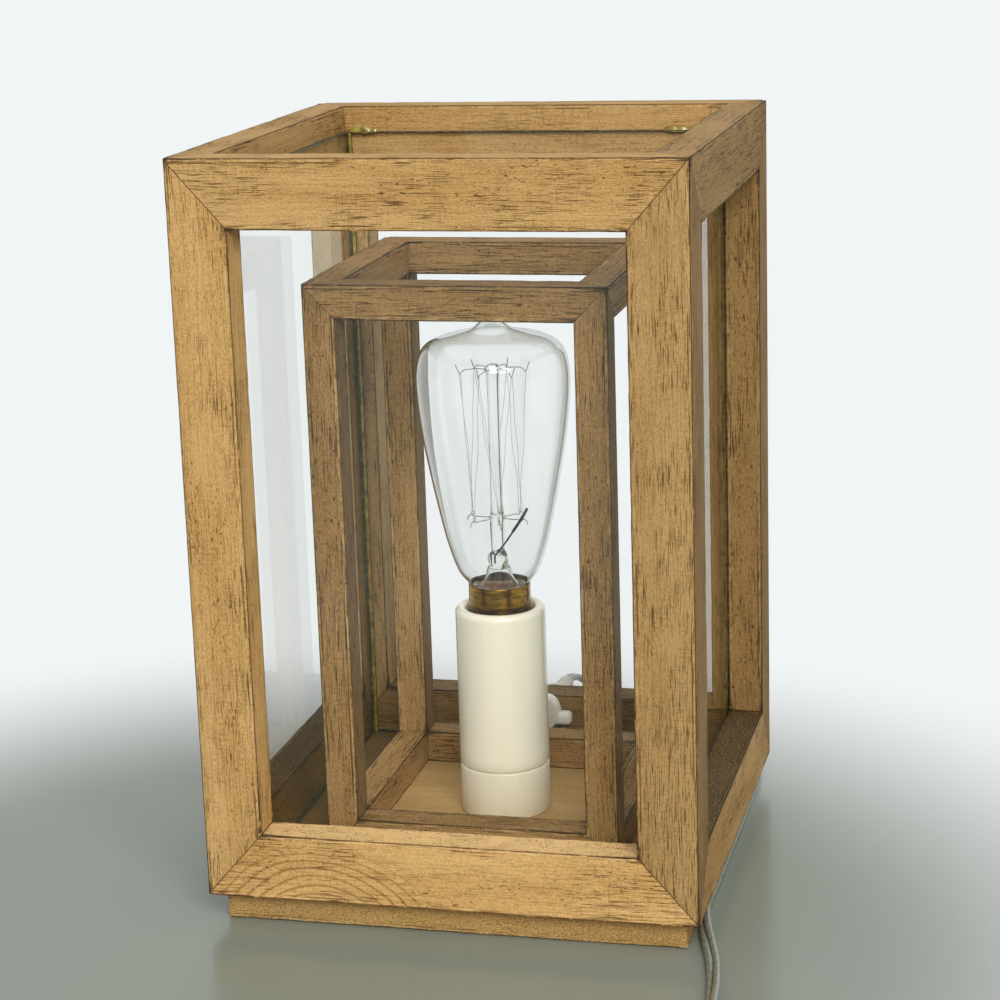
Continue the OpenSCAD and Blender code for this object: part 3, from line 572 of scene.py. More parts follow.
def oak_finish(
    name, light, middle, dark, stain, bare, streaky=1.0, coarse=1.0, sawn=0.5, fuzzy=0.0
):
    """Weathered open-grained timber: soft tones, growth rings, fibre and fine speckle, thin
    brown streaks that gather in patches, dark worn arrises, tight joints and saw marks,
    all times each member's shade, which for some members is painted shade."""
    f = Finish(name)
    grain = f.lay("grain")
    across, depth, joint = f.split(f.lay("arris"))
    half_across, half_depth, corner = f.split(f.lay("half"))
    shade, dirty, grime = f.split(f.lay("tone"))
    run, over, flat = f.split(f.lay("rings"))
    # Millimetres in from the nearest arris
    in_from = (half_across - abs(across)).most(half_depth - abs(depth))
    on_top = across.rise(half_across - 0.9, half_across - 0.2)
    broad = f.noise(f.stretch(grain, 8, 50, 50), 1, 3, 0.6)
    wander = f.noise(f.stretch(grain, 6, 26, 26), 1, 2)
    radius = (run * run * flat + over * over) ** 0.5
    ring = (radius * 1900 + wander * 26).wave().rise(0.35, 1.0)
    # Arched rings fade into straight grain away from the middle of the arch
    ring = ring * (0.16 + flat * 1.8).least(0.9)
    ring = ring * (1.0 - (radius * flat).rise(0.009, 0.0155, 0.0, 0.9))
    ring = ring * broad.rise(0.3, 0.6, 0.6, 1.0) * (1.0 - on_top)
    fibre = f.noise(f.stretch(grain, 55 * coarse, 1500, 1500), 1, 3, 0.7)
    speck = f.noise(f.stretch(grain, 1000, 1700, 1700), 1, 2, 0.65)
    pore = f.noise(f.stretch(grain, 90 * coarse, 2300, 2300), 1, 2, 0.6, 0.25)
    pit = f.noise(f.stretch(grain, 420, 1050, 1050), 1, 1, 0.5, 0.3)
    patch = f.noise(f.stretch(grain, 26, 60, 60), 1, 3, 0.6)
    tick = f.noise(f.stretch(grain, 1500, 110, 110), 1, 2, 0.6)
    rub = f.noise(f.stretch(grain, 150, 190, 190), 1, 3, 0.7)
    near_arris = 1.0 - in_from.rise(0.3, 3.4)
    near_joint = 1.0 - joint.rise(0.5, 12.0)
    weather = patch.rise(0.44, 0.62) + near_arris * 0.4 + near_joint * 0.4 + 0.1
    streak = pore.rise(0.56, 0.63) * (weather * dirty * streaky).least(1.0)
    pitted = pit.rise(0.66, 0.74) * (dirty * streaky).least(1.0) * broad.rise(0.42, 0.56)
    outline = (1.0 - in_from.rise(0.15, 0.7)) * rub.rise(0.26, 0.46)
    worn = (1.0 - abs(in_from - 0.8).rise(0.2, 1.2)) * rub.rise(0.46, 0.62)
    chewed = (grime * on_top * -1.0).most(0.0)
    burnt = (1.0 - in_from.rise(0.1, 1.1)) * (1.0 - joint.rise(3.0, 24.0))
    burnt = burnt.most((1.0 - in_from.rise(0.4, 2.6)) * (1.0 - joint.rise(1.0, 6.0)))
    burnt = burnt * rub.rise(0.36, 0.5)
    line = (1.0 - abs(in_from - 1.7).rise(0.1, 0.42)) * patch.rise(0.5, 0.56) * (1.0 - chewed)
    seam = (1.0 - joint.rise(0.06, 0.34)) * rub.rise(0.2, 0.45, 0.3, 0.7)
    seam = seam.most((1.0 - corner.rise(0.05, 0.3)) * rub.rise(0.45, 0.6, 0.05, 0.6))
    wood = f.mix(light, middle, broad.rise(0.3, 0.66))
    wood = f.mix(wood, dark, fibre.rise(0.48, 0.74) * 0.62)
    wood = f.mix(wood, dark, ring)
    wood = f.mix(wood, bare, (1.0 - speck.rise(0.32, 0.5)) * 0.36)
    wood = f.mix(wood, dark, speck.rise(0.5, 0.68) * 0.46)
    wood = f.mix(wood, dark, tick.rise(0.52, 0.66) * patch.rise(0.4, 0.6) * sawn * 0.7)
    wood = f.mix(wood, bare, (worn * 0.6).most(chewed * 0.7))
    wood = f.mix(wood, stain, chewed * speck.rise(0.53, 0.62) * rub.rise(0.4, 0.56) * 0.75)
    wood = f.mix(wood, stain, streak.most(pitted) * 0.8)
    wood = f.mix(wood, stain, outline.most(line * 0.8) * 0.85)
    wood = f.mix(wood, tint(44, 26, 14), burnt * 0.85)
    wood = f.mix(wood, stain, seam)
    if fuzzy:
        fuzz = f.noise(f.stretch(grain, 1300, 1700, 1700), 1, 2, 0.7, 0.4)
        wood = f.mix(wood, bare, fuzz.rise(0.5, 0.68) * fuzzy)
        wood = f.mix(wood, dark, (1.0 - fuzz.rise(0.34, 0.48)) * fuzzy)
    gritty = (grime * (0.55 + speck.rise(0.4, 0.54) * 0.4)).most(0.0).least(0.95) * on_top
    wood = f.mix(wood, tint(64, 50, 26), gritty)
    # Each member's shade multiplies the colour; for some members and faces this is painted shade.
    wood = f.mix(wood, shade, 1.0, "MULTIPLY")
    height = fibre * -0.5 - streak * 0.5 - pitted - speck * 0.5 - tick * sawn * 0.3 - seam
    height = height - outline * 0.4 - chewed * (speck + rub) * 1.2
    if fuzzy:
        height = height + fuzz * 2.4
    return f.skin(
        colour=wood, rough=0.62 + broad * 0.12 + streak * 0.1, gloss=0.16,
        relief=f.bump(height, 0.00045, 0.8),
    )


OUTER_OAK = oak_finish(
    "oak", tint(211, 172, 113), tint(193, 152, 92), tint(140, 102, 54), tint(88, 54, 22),
    tint(222, 188, 132),
)
INNER_OAK = oak_finish(
    "inner_oak", tint(184, 148, 98), tint(162, 126, 76), tint(110, 80, 42),
    tint(46, 30, 13), tint(204, 172, 122), streaky=2.0, coarse=0.8, sawn=0.4,
)
BASE_OAK = oak_finish(
    "base_oak", tint(216, 178, 112), tint(198, 156, 92), tint(132, 94, 48), tint(78, 50, 22),
    tint(236, 202, 142), streaky=0.12, coarse=3.0, sawn=0.4, fuzzy=0.6,
)
FLOOR_OAK = oak_finish(
    "floor_oak", tint(200, 168, 114), tint(186, 152, 98), tint(156, 124, 74),
    tint(62, 48, 26), tint(206, 176, 124), streaky=0.1, sawn=0.2,
)

# Shade, share of dark streaks, and grime on the upper side, or bare wood below nought, of
# members unlike the rest. The right side's low shade is partly darker wood and partly painted
# shade; the low shade of the back and left bottom rails is painted shade inside the lamp.
TONES_AND_PAINTED_SHADE = {
    "front_top_rail": (0.93, 1.35, 0), "front_left_stile": (1.05, 0.85, 0),
    "front_right_stile": (0.74, 2.2, 0), "front_bottom_rail": (1.18, 1.1, -1),
    # Right side: darker wood, and partly painted shade
    "right_front_stile": (0.5, 1.1, 0), "right_back_stile": (0.56, 1.1, 0),
    "right_top_rail": (0.63, 1.0, 0), "right_bottom_rail": (0.87, 1.4, 1.25),
    # Painted shade: the low shade of these two bottom rails
    "back_bottom_rail": (0.62, 0.9, 0.6), "left_bottom_rail": (0.5, 0.9, 0.85),
    "back_top_rail": (0.88, 0.5, 0), "left_top_rail": (0.8, 0.9, 0),
    "inner_right_post": (1.0, 1.5, 0), "inner_front_bottom_rail": (1.0, 1, 0.4),
    "inner_back_bottom_rail": (0.96, 1, 0.25), "inner_right_bottom_rail": (0.9, 1, 0.5),
}
# Where the growth rings arch across a member: along and across from its middle, in metres,
# and how steeply
ARCHES = {"front_bottom_rail": (-0.054, -0.0215, 0.42), "left_front_stile": (0.03, 0.02, 0.1)}


def grained(bm, kind, centre, half, seed, joint=None, corner=None, name=""):
    """Gives the timber its grain: along it, across its face and into its depth."""
    grain, arris, reach, tone, rings = (
        bm.verts.layers.float_vector.new(n) for n in ("grain", "arris", "half", "tone", "rings")
    )
    along, across, depth = {"upright": (2, 0, 1), "level": (0, 2, 1), "board": (0, 1, 2)}[kind]
    pick = random.Random(seed)
    shift = Vector(pick.uniform(-9, 9) for _ in range(3))
    shade, dirty, grime = TONES_AND_PAINTED_SHADE.get(name, (pick.uniform(0.92, 1.04), 1, 0))
    arch = ARCHES.get(name)
    for v in bm.verts:
        p = v.co / MM
        at = p - Vector(centre)
        lay = Vector((at[along], at[across], at[depth])) * MM
        v[grain] = lay + shift
        if arch:
            v[rings] = (lay.x - arch[0], lay.y - arch[1], arch[2])
        else:
            v[rings] = (lay.x, lay.y + shift.y, 0)
        v[arris] = (at[across], at[depth], joint(p) if joint else 99)
        v[reach] = (half[0], half[1], corner(p) if corner else 99)
        v[tone] = (shade, dirty, grime)


def paint_shade(bm, where, shade):
    """Paints shade on the timber's points that lie there: sets their shade, with plain streaks and
    no grime.
    """
    tone = bm.verts.layers.float_vector["tone"]
    for v in bm.verts:
        if where(v.co / MM):
            v[tone] = (shade(v[tone].x), 1, 0)


def roughened(bm, centre, half, seed, amount=0.2):
    """Knocks the arrises about a little, as handling does."""
    shift = Vector((seed * 3.1, seed * 1.7, seed * 0.9))
    for v in bm.verts:
        p = v.co / MM
        at = p - Vector(centre)
        gaps = sorted(half[k] - abs(at[k]) for k in range(3))
        near = math.exp(-max(gaps[1], 0) / 1.1)
        if near < 0.05:
            continue
        knock = max(noise.noise(p * 0.16 + shift) - 0.05, 0) * 1.5
        knock += max(noise.noise(p * 0.55 + shift), 0) * 0.55
        inward = Vector(
            -math.copysign(1, at[k]) if half[k] - abs(at[k]) < 1.2 else 0 for k in range(3)
        )
        v.co += inward * min(knock, 1) * amount * near * MM


def ruled(bm, axis, shift, far, pick, low=4.5, high=8.5):
    """Rows of edges across the grain, unevenly apart, for the arrises to be knocked at."""
    at = shift + 3.0
    while at < far - 3:
        score(bm, axis * at * MM, axis)
        at += pick.uniform(low, high)


def turned_in(point, corner, radius, a, b):
    """Draws a point near an outer corner of two axes in to that corner's round."""
    centre = [corner[k] - math.copysign(radius, corner[k]) for k in (0, 1)]
    off = Vector(((point[a] - centre[0]), (point[b] - centre[1])))
    outside = all(off[k] * corner[k] > 0 for k in (0, 1))
    if outside and off.length > radius:
        off *= radius / off.length
        point[a], point[b] = centre[0] + off[0], centre[1] + off[1]


def member(
    side, kind, width, height, stile, rail, thick, reach, foot, seed, notch=None, name="",
    rounds=(1.5, 2.6, 1.2),
):
    """One member of a mitred frame, in the side that it belongs to: 0 is the front, and
    the others follow anticlockwise from above."""
    bm = bmesh.new()
    w = width / 2
    upright = kind in ("left", "right")
    hand = -1 if kind == "left" else 1
    if upright:
        low, high = sorted((hand * w, hand * (w - stile)))
        block(bm, (low, 0, 0), (high, thick, height))
        saw(bm, mm(hand * w, 0, 0), Vector((-hand * rail, 0, -stile)).normalized())
        saw(bm, mm(hand * w, 0, height), Vector((-hand * rail, 0, stile)).normalized())
        saw(bm, mm(hand * w, 0, 0), Vector((hand, 1, 0)).normalized())
    else:
        z0, lift = (height - rail, -1) if kind == "top" else (0, 1)
        tip = height if kind == "top" else 0
        block(bm, (-w, 0, z0), (w, thick, z0 + rail))
        for end in (-1, 1):
            saw(bm, mm(end * w, 0, tip), Vector((end * rail, 0, lift * stile)).normalized())
            saw(bm, mm(end * w, 0, 0), Vector((end, 1, 0)).normalized())
    if notch:
        notch(bm)
    slope = math.hypot(stile, rail)

    def to_mitre(p):
        rise = p.z if kind == "bottom" else height - p.z
        if upright:
            rise = min(p.z, height - p.z)
            return abs(rise * stile - (w - abs(p.x)) * rail) / slope
        return abs((w - abs(p.x)) * rail - rise * stile) / slope

    def to_corner(p):
        return abs(w - abs(p.x) - p.y) / math.sqrt(2)

    flat = {f for f in bm.faces if max(abs(part) for part in f.normal) > 0.999}
    run = Z if upright else X
    long_edges = [
        e for e in bm.edges
        if all(f in flat for f in e.link_faces)
        and abs((e.verts[1].co - e.verts[0].co).normalized().dot(run)) > 0.99
    ]
    ease(bm, long_edges, 0.75, 3)
    # Rows of edges along the corner, so that it can be rounded, and across the grain
    edge_round, top_round, foot_round = rounds
    if upright:
        for a in (0.3, 0.8, 1.5, 3.0):
            score(bm, mm(hand * (w - a), 0, 0), X)
    for a in (0.4, 1.0, 1.8):
        if upright:
            score(bm, mm(0, 0, a), Z)
            score(bm, mm(0, 0, height - a), Z)
        else:
            score(bm, mm(a - w, 0, 0), X)
            score(bm, mm(w - a, 0, 0), X)
    pick = random.Random(seed)
    if upright:
        ruled(bm, Z, 0, height, pick)
    else:
        ruled(bm, X, -w, w, pick)
    if upright:
        centre = (hand * (w - stile / 2), thick / 2, height / 2)
        half = (stile / 2, thick / 2, height / 2)
    else:
        centre = (0, thick / 2, z0 + rail / 2)
        half = (w, thick / 2, rail / 2)
    across = (half[0] if upright else half[2], half[1])
    grained(bm, "upright" if upright else "level", centre, across, seed, to_mitre, to_corner, name)
    for v in bm.verts:
        p = v.co / MM
        side_of = 1 if p.x > 0 else -1
        if p.z > height / 2:
            p.z -= height
            turned_in(p, (side_of * w, 1e-9), top_round, 0, 2)
            p.z += height
        else:
            turned_in(p, (side_of * w, -1e-9), foot_round, 0, 2)
        turned_in(p, (side_of * w, -1e-9), edge_round, 0, 1)
        v.co = p * MM
    roughened(bm, centre, half, seed)
    bmesh.ops.transform(
        bm, matrix=Matrix.Rotation(math.radians(90 * side), 4, "Z")
        @ Matrix.Translation(mm(0, -reach, foot)), verts=bm.verts,
    )
    return bm


SIDES = ("front", "right", "back", "left")


def make_outer_frames():
    """Sixteen members: a left and a right stile and two rails in each of the four sides."""
    for side, name in enumerate(SIDES):
        before, after = SIDES[side - 1], SIDES[(side + 1) % 4]
        for k, kind in enumerate(("left", "right", "top", "bottom")):
            if kind in ("top", "bottom"):
                node = f"{name}_{kind}_rail"
            else:
                node = f"{name}_{before if kind == 'left' else after}_stile"
            bm = member(
                side, kind, FRAME_W, FRAME_H, STILE_W, RAIL_W, FRAME_T, FRAME_W / 2, BASE_T,
                seed=side * 4 + k + 1, name=node,
            )
            finished(bm, "oak_" + node, "lantern", OUTER_OAK, (node,))


def make_inner_frame():
    """Four square posts and two rings of rails, all mitred where they meet."""
    for hand, left in ((-1, "left"), (1, "right")):
        for way, front in ((-1, "front"), (1, "back")):
            x, y, t = hand * INNER_W / 2, way * INNER_W / 2, INNER_T
            bm = bmesh.new()
            low = (min(x, x - hand * t), min(y, y - way * t), 0)
            high = (max(x, x - hand * t), max(y, y - way * t), INNER_H)
            block(bm, low, high)
            for end, up in ((0, -1), (INNER_H, 1)):
                slopes = Vector((INNER_RAIL_W, 0, INNER_T)), Vector((0, INNER_RAIL_W, INNER_T))
                saw(
                    bm, mm(x, y, end),
                    Vector((-hand * slopes[0].x, 0, up * slopes[0].z)).normalized(),
                )
                saw(
                    bm, mm(x, y, end),
                    Vector((0, -way * slopes[1].y, up * slopes[1].z)).normalized(),
                )
            bmesh.ops.dissolve_degenerate(bm, dist=1e-6, edges=bm.edges)
            arrises = [
                e for e in bm.edges
                if abs((e.verts[1].co - e.verts[0].co).normalized().z) > 0.99
            ]
            ease(bm, arrises, 0.7, 3)
            seed = 31 + 2 * hand + way
            for at in (INNER_H - 0.4, INNER_H - 1.0, INNER_H - 1.8):
                score(bm, mm(0, 0, at), Z)
            ruled(bm, Z, 0, INNER_H, random.Random(seed))
            centre = (x - hand * t / 2, y - way * t / 2, INNER_H / 2)
            slope = math.hypot(INNER_RAIL_W, t)

            def to_mitre(p, x=x, y=y, slope=slope):
                rise = min(p.z, INNER_H - p.z)
                a, b = abs(abs(x) - abs(p.x)), abs(abs(y) - abs(p.y))
                return abs(rise * INNER_T - min(a, b) * INNER_RAIL_W) / slope

            grained(
                bm, "upright", centre, (t / 2, t / 2), seed, to_mitre, name=f"inner_{left}_post"
            )
            # Painted shade: the sides that face right are darkened
            right = centre[0] + t / 2 - 0.1
            paint_shade(bm, lambda p, right=right: p.x > right, lambda shade: shade * 0.6)
            for v in bm.verts:
                p = v.co / MM
                p.z -= INNER_H
                for axis, reach in ((0, x), (1, y)):
                    turned_in(p, (reach, 1e-9), 2.0, axis, 2)
                turned_in(p, (x, y), 1.0, 0, 1)
                p.z += INNER_H
                v.co = p * MM
            roughened(bm, centre, (t / 2, t / 2, INNER_H / 2), seed)
            bmesh.ops.translate(bm, verts=bm.verts, vec=mm(0, 0, FLOOR_Z))
            node = f"inner_{front}_{left}_post"
            finished(bm, "oak_" + node, "lantern", INNER_OAK, (node,))
    for kind in ("top", "bottom"):
        for side, name in enumerate(SIDES):
            bm = member(
                side, kind, INNER_W, INNER_H, INNER_T, INNER_RAIL_W, INNER_T, INNER_W / 2,
                FLOOR_Z, seed=51 + side + 4 * (kind == "top"),
                notch=lead_notch if (kind, name) == ("bottom", "back") else None,
                name=f"inner_{name}_{kind}_rail", rounds=(1.0, 2.0, 0.4),
            )
            node = f"inner_{kind}_rails"
            finished(
                bm, f"oak_inner_{name}_{kind}_rail", "lantern", INNER_OAK, (node,)
            )


# Middle, half width and height of the notch for the lead
NOTCH_X, NOTCH_HALF, NOTCH_H = -2.5, 4.8, 6.6


def lead_notch(bm):
    """The notch under the back rail of the inner frame, where the lead passes."""
    for x in (NOTCH_X - NOTCH_HALF, NOTCH_X + NOTCH_HALF):
        score(bm, mm(x, 0, 0), X)
    score(bm, mm(0, 0, NOTCH_H), Z)
    inside = [
        f for f in bm.faces
        if abs(f.calc_center_median().x / MM - NOTCH_X) < NOTCH_HALF
        and f.calc_center_median().z / MM < NOTCH_H
    ]
    bmesh.ops.delete(bm, geom=inside, context="FACES")
    rims = [e for e in bm.edges if e.is_boundary]
    ends = [e for e in rims if not (abs(e.verts[0].co.z) < 1e-6 and abs(e.verts[1].co.z) < 1e-6)]
    front = [e for e in ends if all(v.co.y < 1e-4 for v in e.verts)]
    back = [e for e in ends if all(v.co.y > (INNER_T - 0.1) * MM for v in e.verts)]
    bmesh.ops.bridge_loops(bm, edges=front + back)
    bmesh.ops.recalc_face_normals(bm, faces=bm.faces)


def make_base():
    """A thick board under the frames, set back, and a floor panel inside them."""
    for name, width, low, high, finish, soft, seed in (
        ("base_board", BASE_W, 0, BASE_T, BASE_OAK, 0.7, 71),
        ("floor_panel", FLOOR_W - 0.4, BASE_T, FLOOR_Z, FLOOR_OAK, 0.3, 72),
    ):
        w = width / 2
        bm = bmesh.new()
        block(bm, (-w, -w, low), (w, w, high))
        ease(bm, bm.edges[:], soft, 2)
        pick = random.Random(seed)
        for axis in (X, Y):
            ruled(bm, axis, -w, w, pick, 5, 9)
        centre, half = (0, 0, (low + high) / 2), (w, w, (high - low) / 2)
        grained(bm, "board", centre, (w, (high - low) / 2), seed)
        if name == "floor_panel":
            # Painted shade, and the dirt that gathers there: the floor between the inner frame and
            # the outer frames is darkened
            edge = INNER_W / 2 - 3
            paint_shade(bm, lambda p, edge=edge: max(abs(p.x), abs(p.y)) > edge, lambda _: 0.34)
        roughened(bm, centre, half, seed, 0.5 if name == "base_board" else 0.1)
        finished(bm, "oak_" + name, "lantern", finish, (name,))


make_outer_frames()
make_inner_frame()
make_base()

# ---------------------------------------------------------------- panes and glue


def pane_finish():
    """Thin clear glass: it only adds its reflections, and a trace of dust and smears."""
    f = Finish("pane_glass")
    dust = f.noise(f.place(), 38, 3, 0.6).rise(0.5, 0.8)
    mirror = 0.018 + 0.9 * f.facing() ** 5.0
    return f.skin(
        colour=tint(230, 239, 226), metal=1.0, rough=0.02 + dust * 0.05,
        Alpha=mirror.least(1.0) + dust * 0.006,
    )


def pane_edge_finish():
    """The cut edge of the glass, green and a little chipped."""
    f = Finish("pane_edge")
    chips = f.noise(f.place(), 420, 2, 0.6)
    return f.skin(
        colour=f.mix(tint(50, 50, 36), tint(112, 114, 90), chips.rise(0.45, 0.75)),
        rough=0.3 + chips * 0.25, gloss=0.3, relief=f.bump(chips, 0.0002, 0.6),
    )


def make_panes():
    """Side panes of the full depth, with the front and the back pane between them."""
    clear, edge = pane_finish(), pane_edge_finish()
    side_w, front_w = 2 * INSIDE - 1, 2 * INSIDE - 2 * PANE_T - 1
    for side, (name, width) in enumerate(zip(SIDES, (front_w, side_w, front_w, side_w))):
        bm = bmesh.new()
        block(bm, (-width / 2, -INSIDE, FLOOR_Z), (width / 2, -INSIDE + PANE_T, FLOOR_Z + PANE_H))
        ease(bm, bm.edges[:], 0.3, 1)
        for f in bm.faces:
            f.material_index = 0 if abs(f.normal.y) > 0.99 else 1
        bmesh.ops.rotate(bm, verts=bm.verts, matrix=Matrix.Rotation(math.pi / 2 * side, 3, "Z"))
        finished(bm, name + "_glass", "lantern", [clear, edge], (name + "_pane",))


def glue_finish():
    """Set resin glue, yellowed and glossy."""
    f = Finish("glue")
    cloud = f.noise(f.place(), 160, 3, 0.6)
    return f.skin(
        colour=f.mix(tint(146, 122, 26), tint(210, 192, 92), cloud.rise(0.35, 0.7)),
        rough=0.12 + cloud * 0.12, coat=0.6, coat_rough=0.04, see_through=0.45, bend=1.46,
        relief=f.bump(cloud, 0.0006, 0.7),
    )


def make_glue():
    """A lumpy bead up each corner between two panes, and blobs on the back pane's top."""
    bm = bmesh.new()
    reach = INSIDE - PANE_T
    for hand in (-1, 1):
        for way in (-1, 1):
            line, sizes = [], []
            for k in range(56):
                z = FLOOR_Z + 0.4 + k * (PANE_H - 0.8) / 55
                sway = noise.noise(Vector((z * 0.06, hand * 7, way * 5)))
                line.append(mm(hand * (reach - 0.55), way * (reach - 0.55), z))
                sizes.append(0.85 + 0.45 * sway)
            wire(bm, line, 2.0, 8, sizes)
    for start, length in ((-reach + 0.2, 13), (reach - 24, 23.8)):
        line, sizes = [], []
        count = int(length / 0.8)
        for k in range(count + 1):
            x = start + length * k / count
            swell = noise.noise(Vector((x * 0.3, 3, 8)))
            line.append(mm(x, INSIDE - 0.75, FLOOR_Z + PANE_H + 0.5 + 0.3 * swell))
            ends = min(1, 0.45 + k * 0.25, 0.45 + (count - k) * 0.25)
            sizes.append(ends * (1.2 + 1.1 * swell))
        wire(bm, line, 2.3, 10, sizes)
    for v in bm.verts:
        v.co.y = min(v.co.y, (INSIDE - 0.02) * MM)
        for k in (0, 1):
            if v.co.z < (FLOOR_Z + PANE_H) * MM:
                limit = (reach - 0.02) * MM
                v.co[k] = max(min(v.co[k], limit), -limit)
    finished(bm, "glue_beads", "lantern", glue_finish(), ("pane_glue",), 60)


make_panes()
make_glue()

# ---------------------------------------------------------------- lampholder


def glazed_finish(name, light, shade, grime, rough=0.24, coat=0.5):
    """Cream moulded ware with a soft gloss, a faint mottle and grime low down."""
    f = Finish(name)
    where = f.place()
    _, _, height = f.split(where)
    mottle = f.noise(f.stretch(where, 1, 1, 0.35), 90, 3, 0.6)
    spots = f.noise(where, 900, 2).rise(0.66, 0.76)
    low = 1.0 - height.rise(0.018, 0.030)
    body = f.mix(light, shade, mottle.rise(0.3, 0.75) * 0.6)
    body = f.mix(body, grime, spots * 0.25 + low * mottle * 0.22)
    return f.skin(
        colour=body, rough=rough + mottle * 0.1, coat=coat, coat_rough=0.12, gloss=0.5,
        relief=f.bump(mottle + f.noise(where, 500, 1) * 0.3, 0.0001, 0.5),
    )


def metal_finish(name, colour, dull, rough=0.3, metal=1.0, scale=240):
    """Metal that has gone dull in patches."""
    f = Finish(name)
    spot = f.place()
    cloud = f.noise(spot, scale, 4, 0.62)
    fine = f.noise(spot, scale * 6, 2)
    return f.skin(
        colour=f.mix(colour, dull, cloud.rise(0.36, 0.68)), metal=metal,
        rough=rough + cloud * 0.22 + fine * 0.06, relief=f.bump(fine + cloud, 5e-5, 0.6),
    )


def aged_brass_finish():
    """Lacquered brass with brown tarnish and fine turning lines."""
    f = Finish("cap_brass")
    where = f.place()
    cloud = f.noise(f.stretch(where, 1, 1, 2.4), 210, 4, 0.6)
    lines = f.noise(f.stretch(where, 40, 40, 2600), 1, 2)
    tarnish = cloud.rise(0.4, 0.7)
    return f.skin(
        colour=f.mix(tint(150, 112, 20), tint(84, 62, 12), tarnish), metal=1.0,
        rough=0.17 + tarnish * 0.1 + lines * 0.05,
        relief=f.bump(lines + cloud * 0.3, 0.00002, 0.5),
    )


def moulded_finish(name, light, dark, rough=0.35, coat=0.1, soft=0.0, scale=300):
    """Moulded plastic with a fine skin and handling marks."""
    f = Finish(name)
    where = f.place()
    skin = f.noise(where, scale * 4, 2)
    cloud = f.noise(where, scale * 0.3, 3, 0.6)
    return f.skin(
        colour=f.mix(light, dark, cloud.rise(0.35, 0.75)), rough=rough + cloud * 0.15, coat=coat,
        coat_rough=0.2, soft=soft, soft_depth=0.002, relief=f.bump(skin + cloud, 0.00005, 0.6),
    )


def make_lampholder():
    r, wall, rim = SLEEVE_R, SLEEVE_WALL, 2.6
    lip, top = CAP_R + 1.2, SLEEVE_TOP
    profile = [(r - wall, SLEEVE_Z), (r - 1.0, SLEEVE_Z), (r - 0.35, SLEEVE_Z + 0.35)]
    profile += [(r, SLEEVE_Z + 1.0)] + [(r, z) for z in range(44, 105, 6)]
    profile += [
        (r - rim + rim * math.cos(math.radians(a)), top - rim + rim * math.sin(math.radians(a)))
        for a in range(0, 91, 10)
    ]
    profile += [
        (lip + 0.9, top - 0.35), (lip + 0.45, top - 1.2), (lip + 0.25, top - 2.3),
        (lip, top - 3.2), (lip, top - 4.2), (r - wall, top - 6.6),
    ]
    sleeve = glazed_finish("sleeve", tint(255, 253, 232), tint(254, 249, 222), tint(158, 140, 100))
    finished(
        turned(profile, 128, closed=True), "cream_sleeve", "lantern", sleeve,
        ("socket_sleeve",), 50,
    )
    ring = glazed_finish(
        "foot_ring", tint(236, 230, 206), tint(222, 214, 186), tint(150, 136, 104), 0.34, 0.25
    )
    z, h, deep = FLOOR_Z, 21, 3.5
    profile = [
        (r - deep, z + 0.3), (r - deep + 0.3, z), (r - 0.6, z), (r - 0.15, z + 0.2),
        (r, z + 0.7), (r, z + 8), (r, z + h - 1.0), (r - 0.35, z + h - 0.35), (r - 1.0, z + h),
        (r - deep, z + h),
    ]
    bm = turned(profile, 128, closed=True)
    gap = [
        f for f in bm.faces
        if f.calc_center_median().y > 0
        and abs(f.calc_center_median().x) < 3.2 * MM
        and f.calc_center_median().z < (z + 7.3) * MM
    ]
    bmesh.ops.delete(bm, geom=gap, context="FACES")
    bmesh.ops.holes_fill(bm, edges=[e for e in bm.edges if e.is_boundary], sides=0)
    finished(bm, "foot_ring", "lantern", ring, ("socket_foot_ring",), 50)
    brown = moulded_finish("insulator", tint(78, 52, 40), tint(50, 32, 24), 0.4)
    brass = metal_finish("brass", tint(206, 168, 84), tint(150, 112, 46))
    steel = metal_finish("steel", tint(196, 198, 200), tint(140, 140, 138), 0.28)
    for node, finish in (
        ("holder_body", brown), ("screw_shell", brass), ("centre_contact", brass),
        ("terminal_screws", brass), ("socket_nipple", steel), ("socket_nut", steel),
        ("base_screws", steel), ("post_screws", steel),
    ):
        refinish(node, finish)
    return steel


def refinish(node, finish):
    """Gives a CAD node, kept as it is, its finish."""
    slots = cad[node].data.materials
    if not slots:
        slots.append(finish)
    for i in range(len(slots)):
        slots[i] = finish


STEEL = make_lampholder()

# ---------------------------------------------------------------- bulb


def glass_finish(name, colour, edge, rough=0.0, bend=1.46, ripple=0.0):
    """Clear glass that bends what is seen through it, darker where it is seen edge on."""
    f = Finish(name)
    swirl = f.noise(f.place(), 46, 2, 0.5)
    return f.skin(
        lets_light=True,
        colour=f.mix(f.mix(colour, tint(255, 255, 255), swirl), edge, f.facing() ** 3.0),
        rough=rough + swirl * 0.01, bend=bend, see_through=1.0,
        relief=f.bump(swirl, 0.0004, ripple),
    )


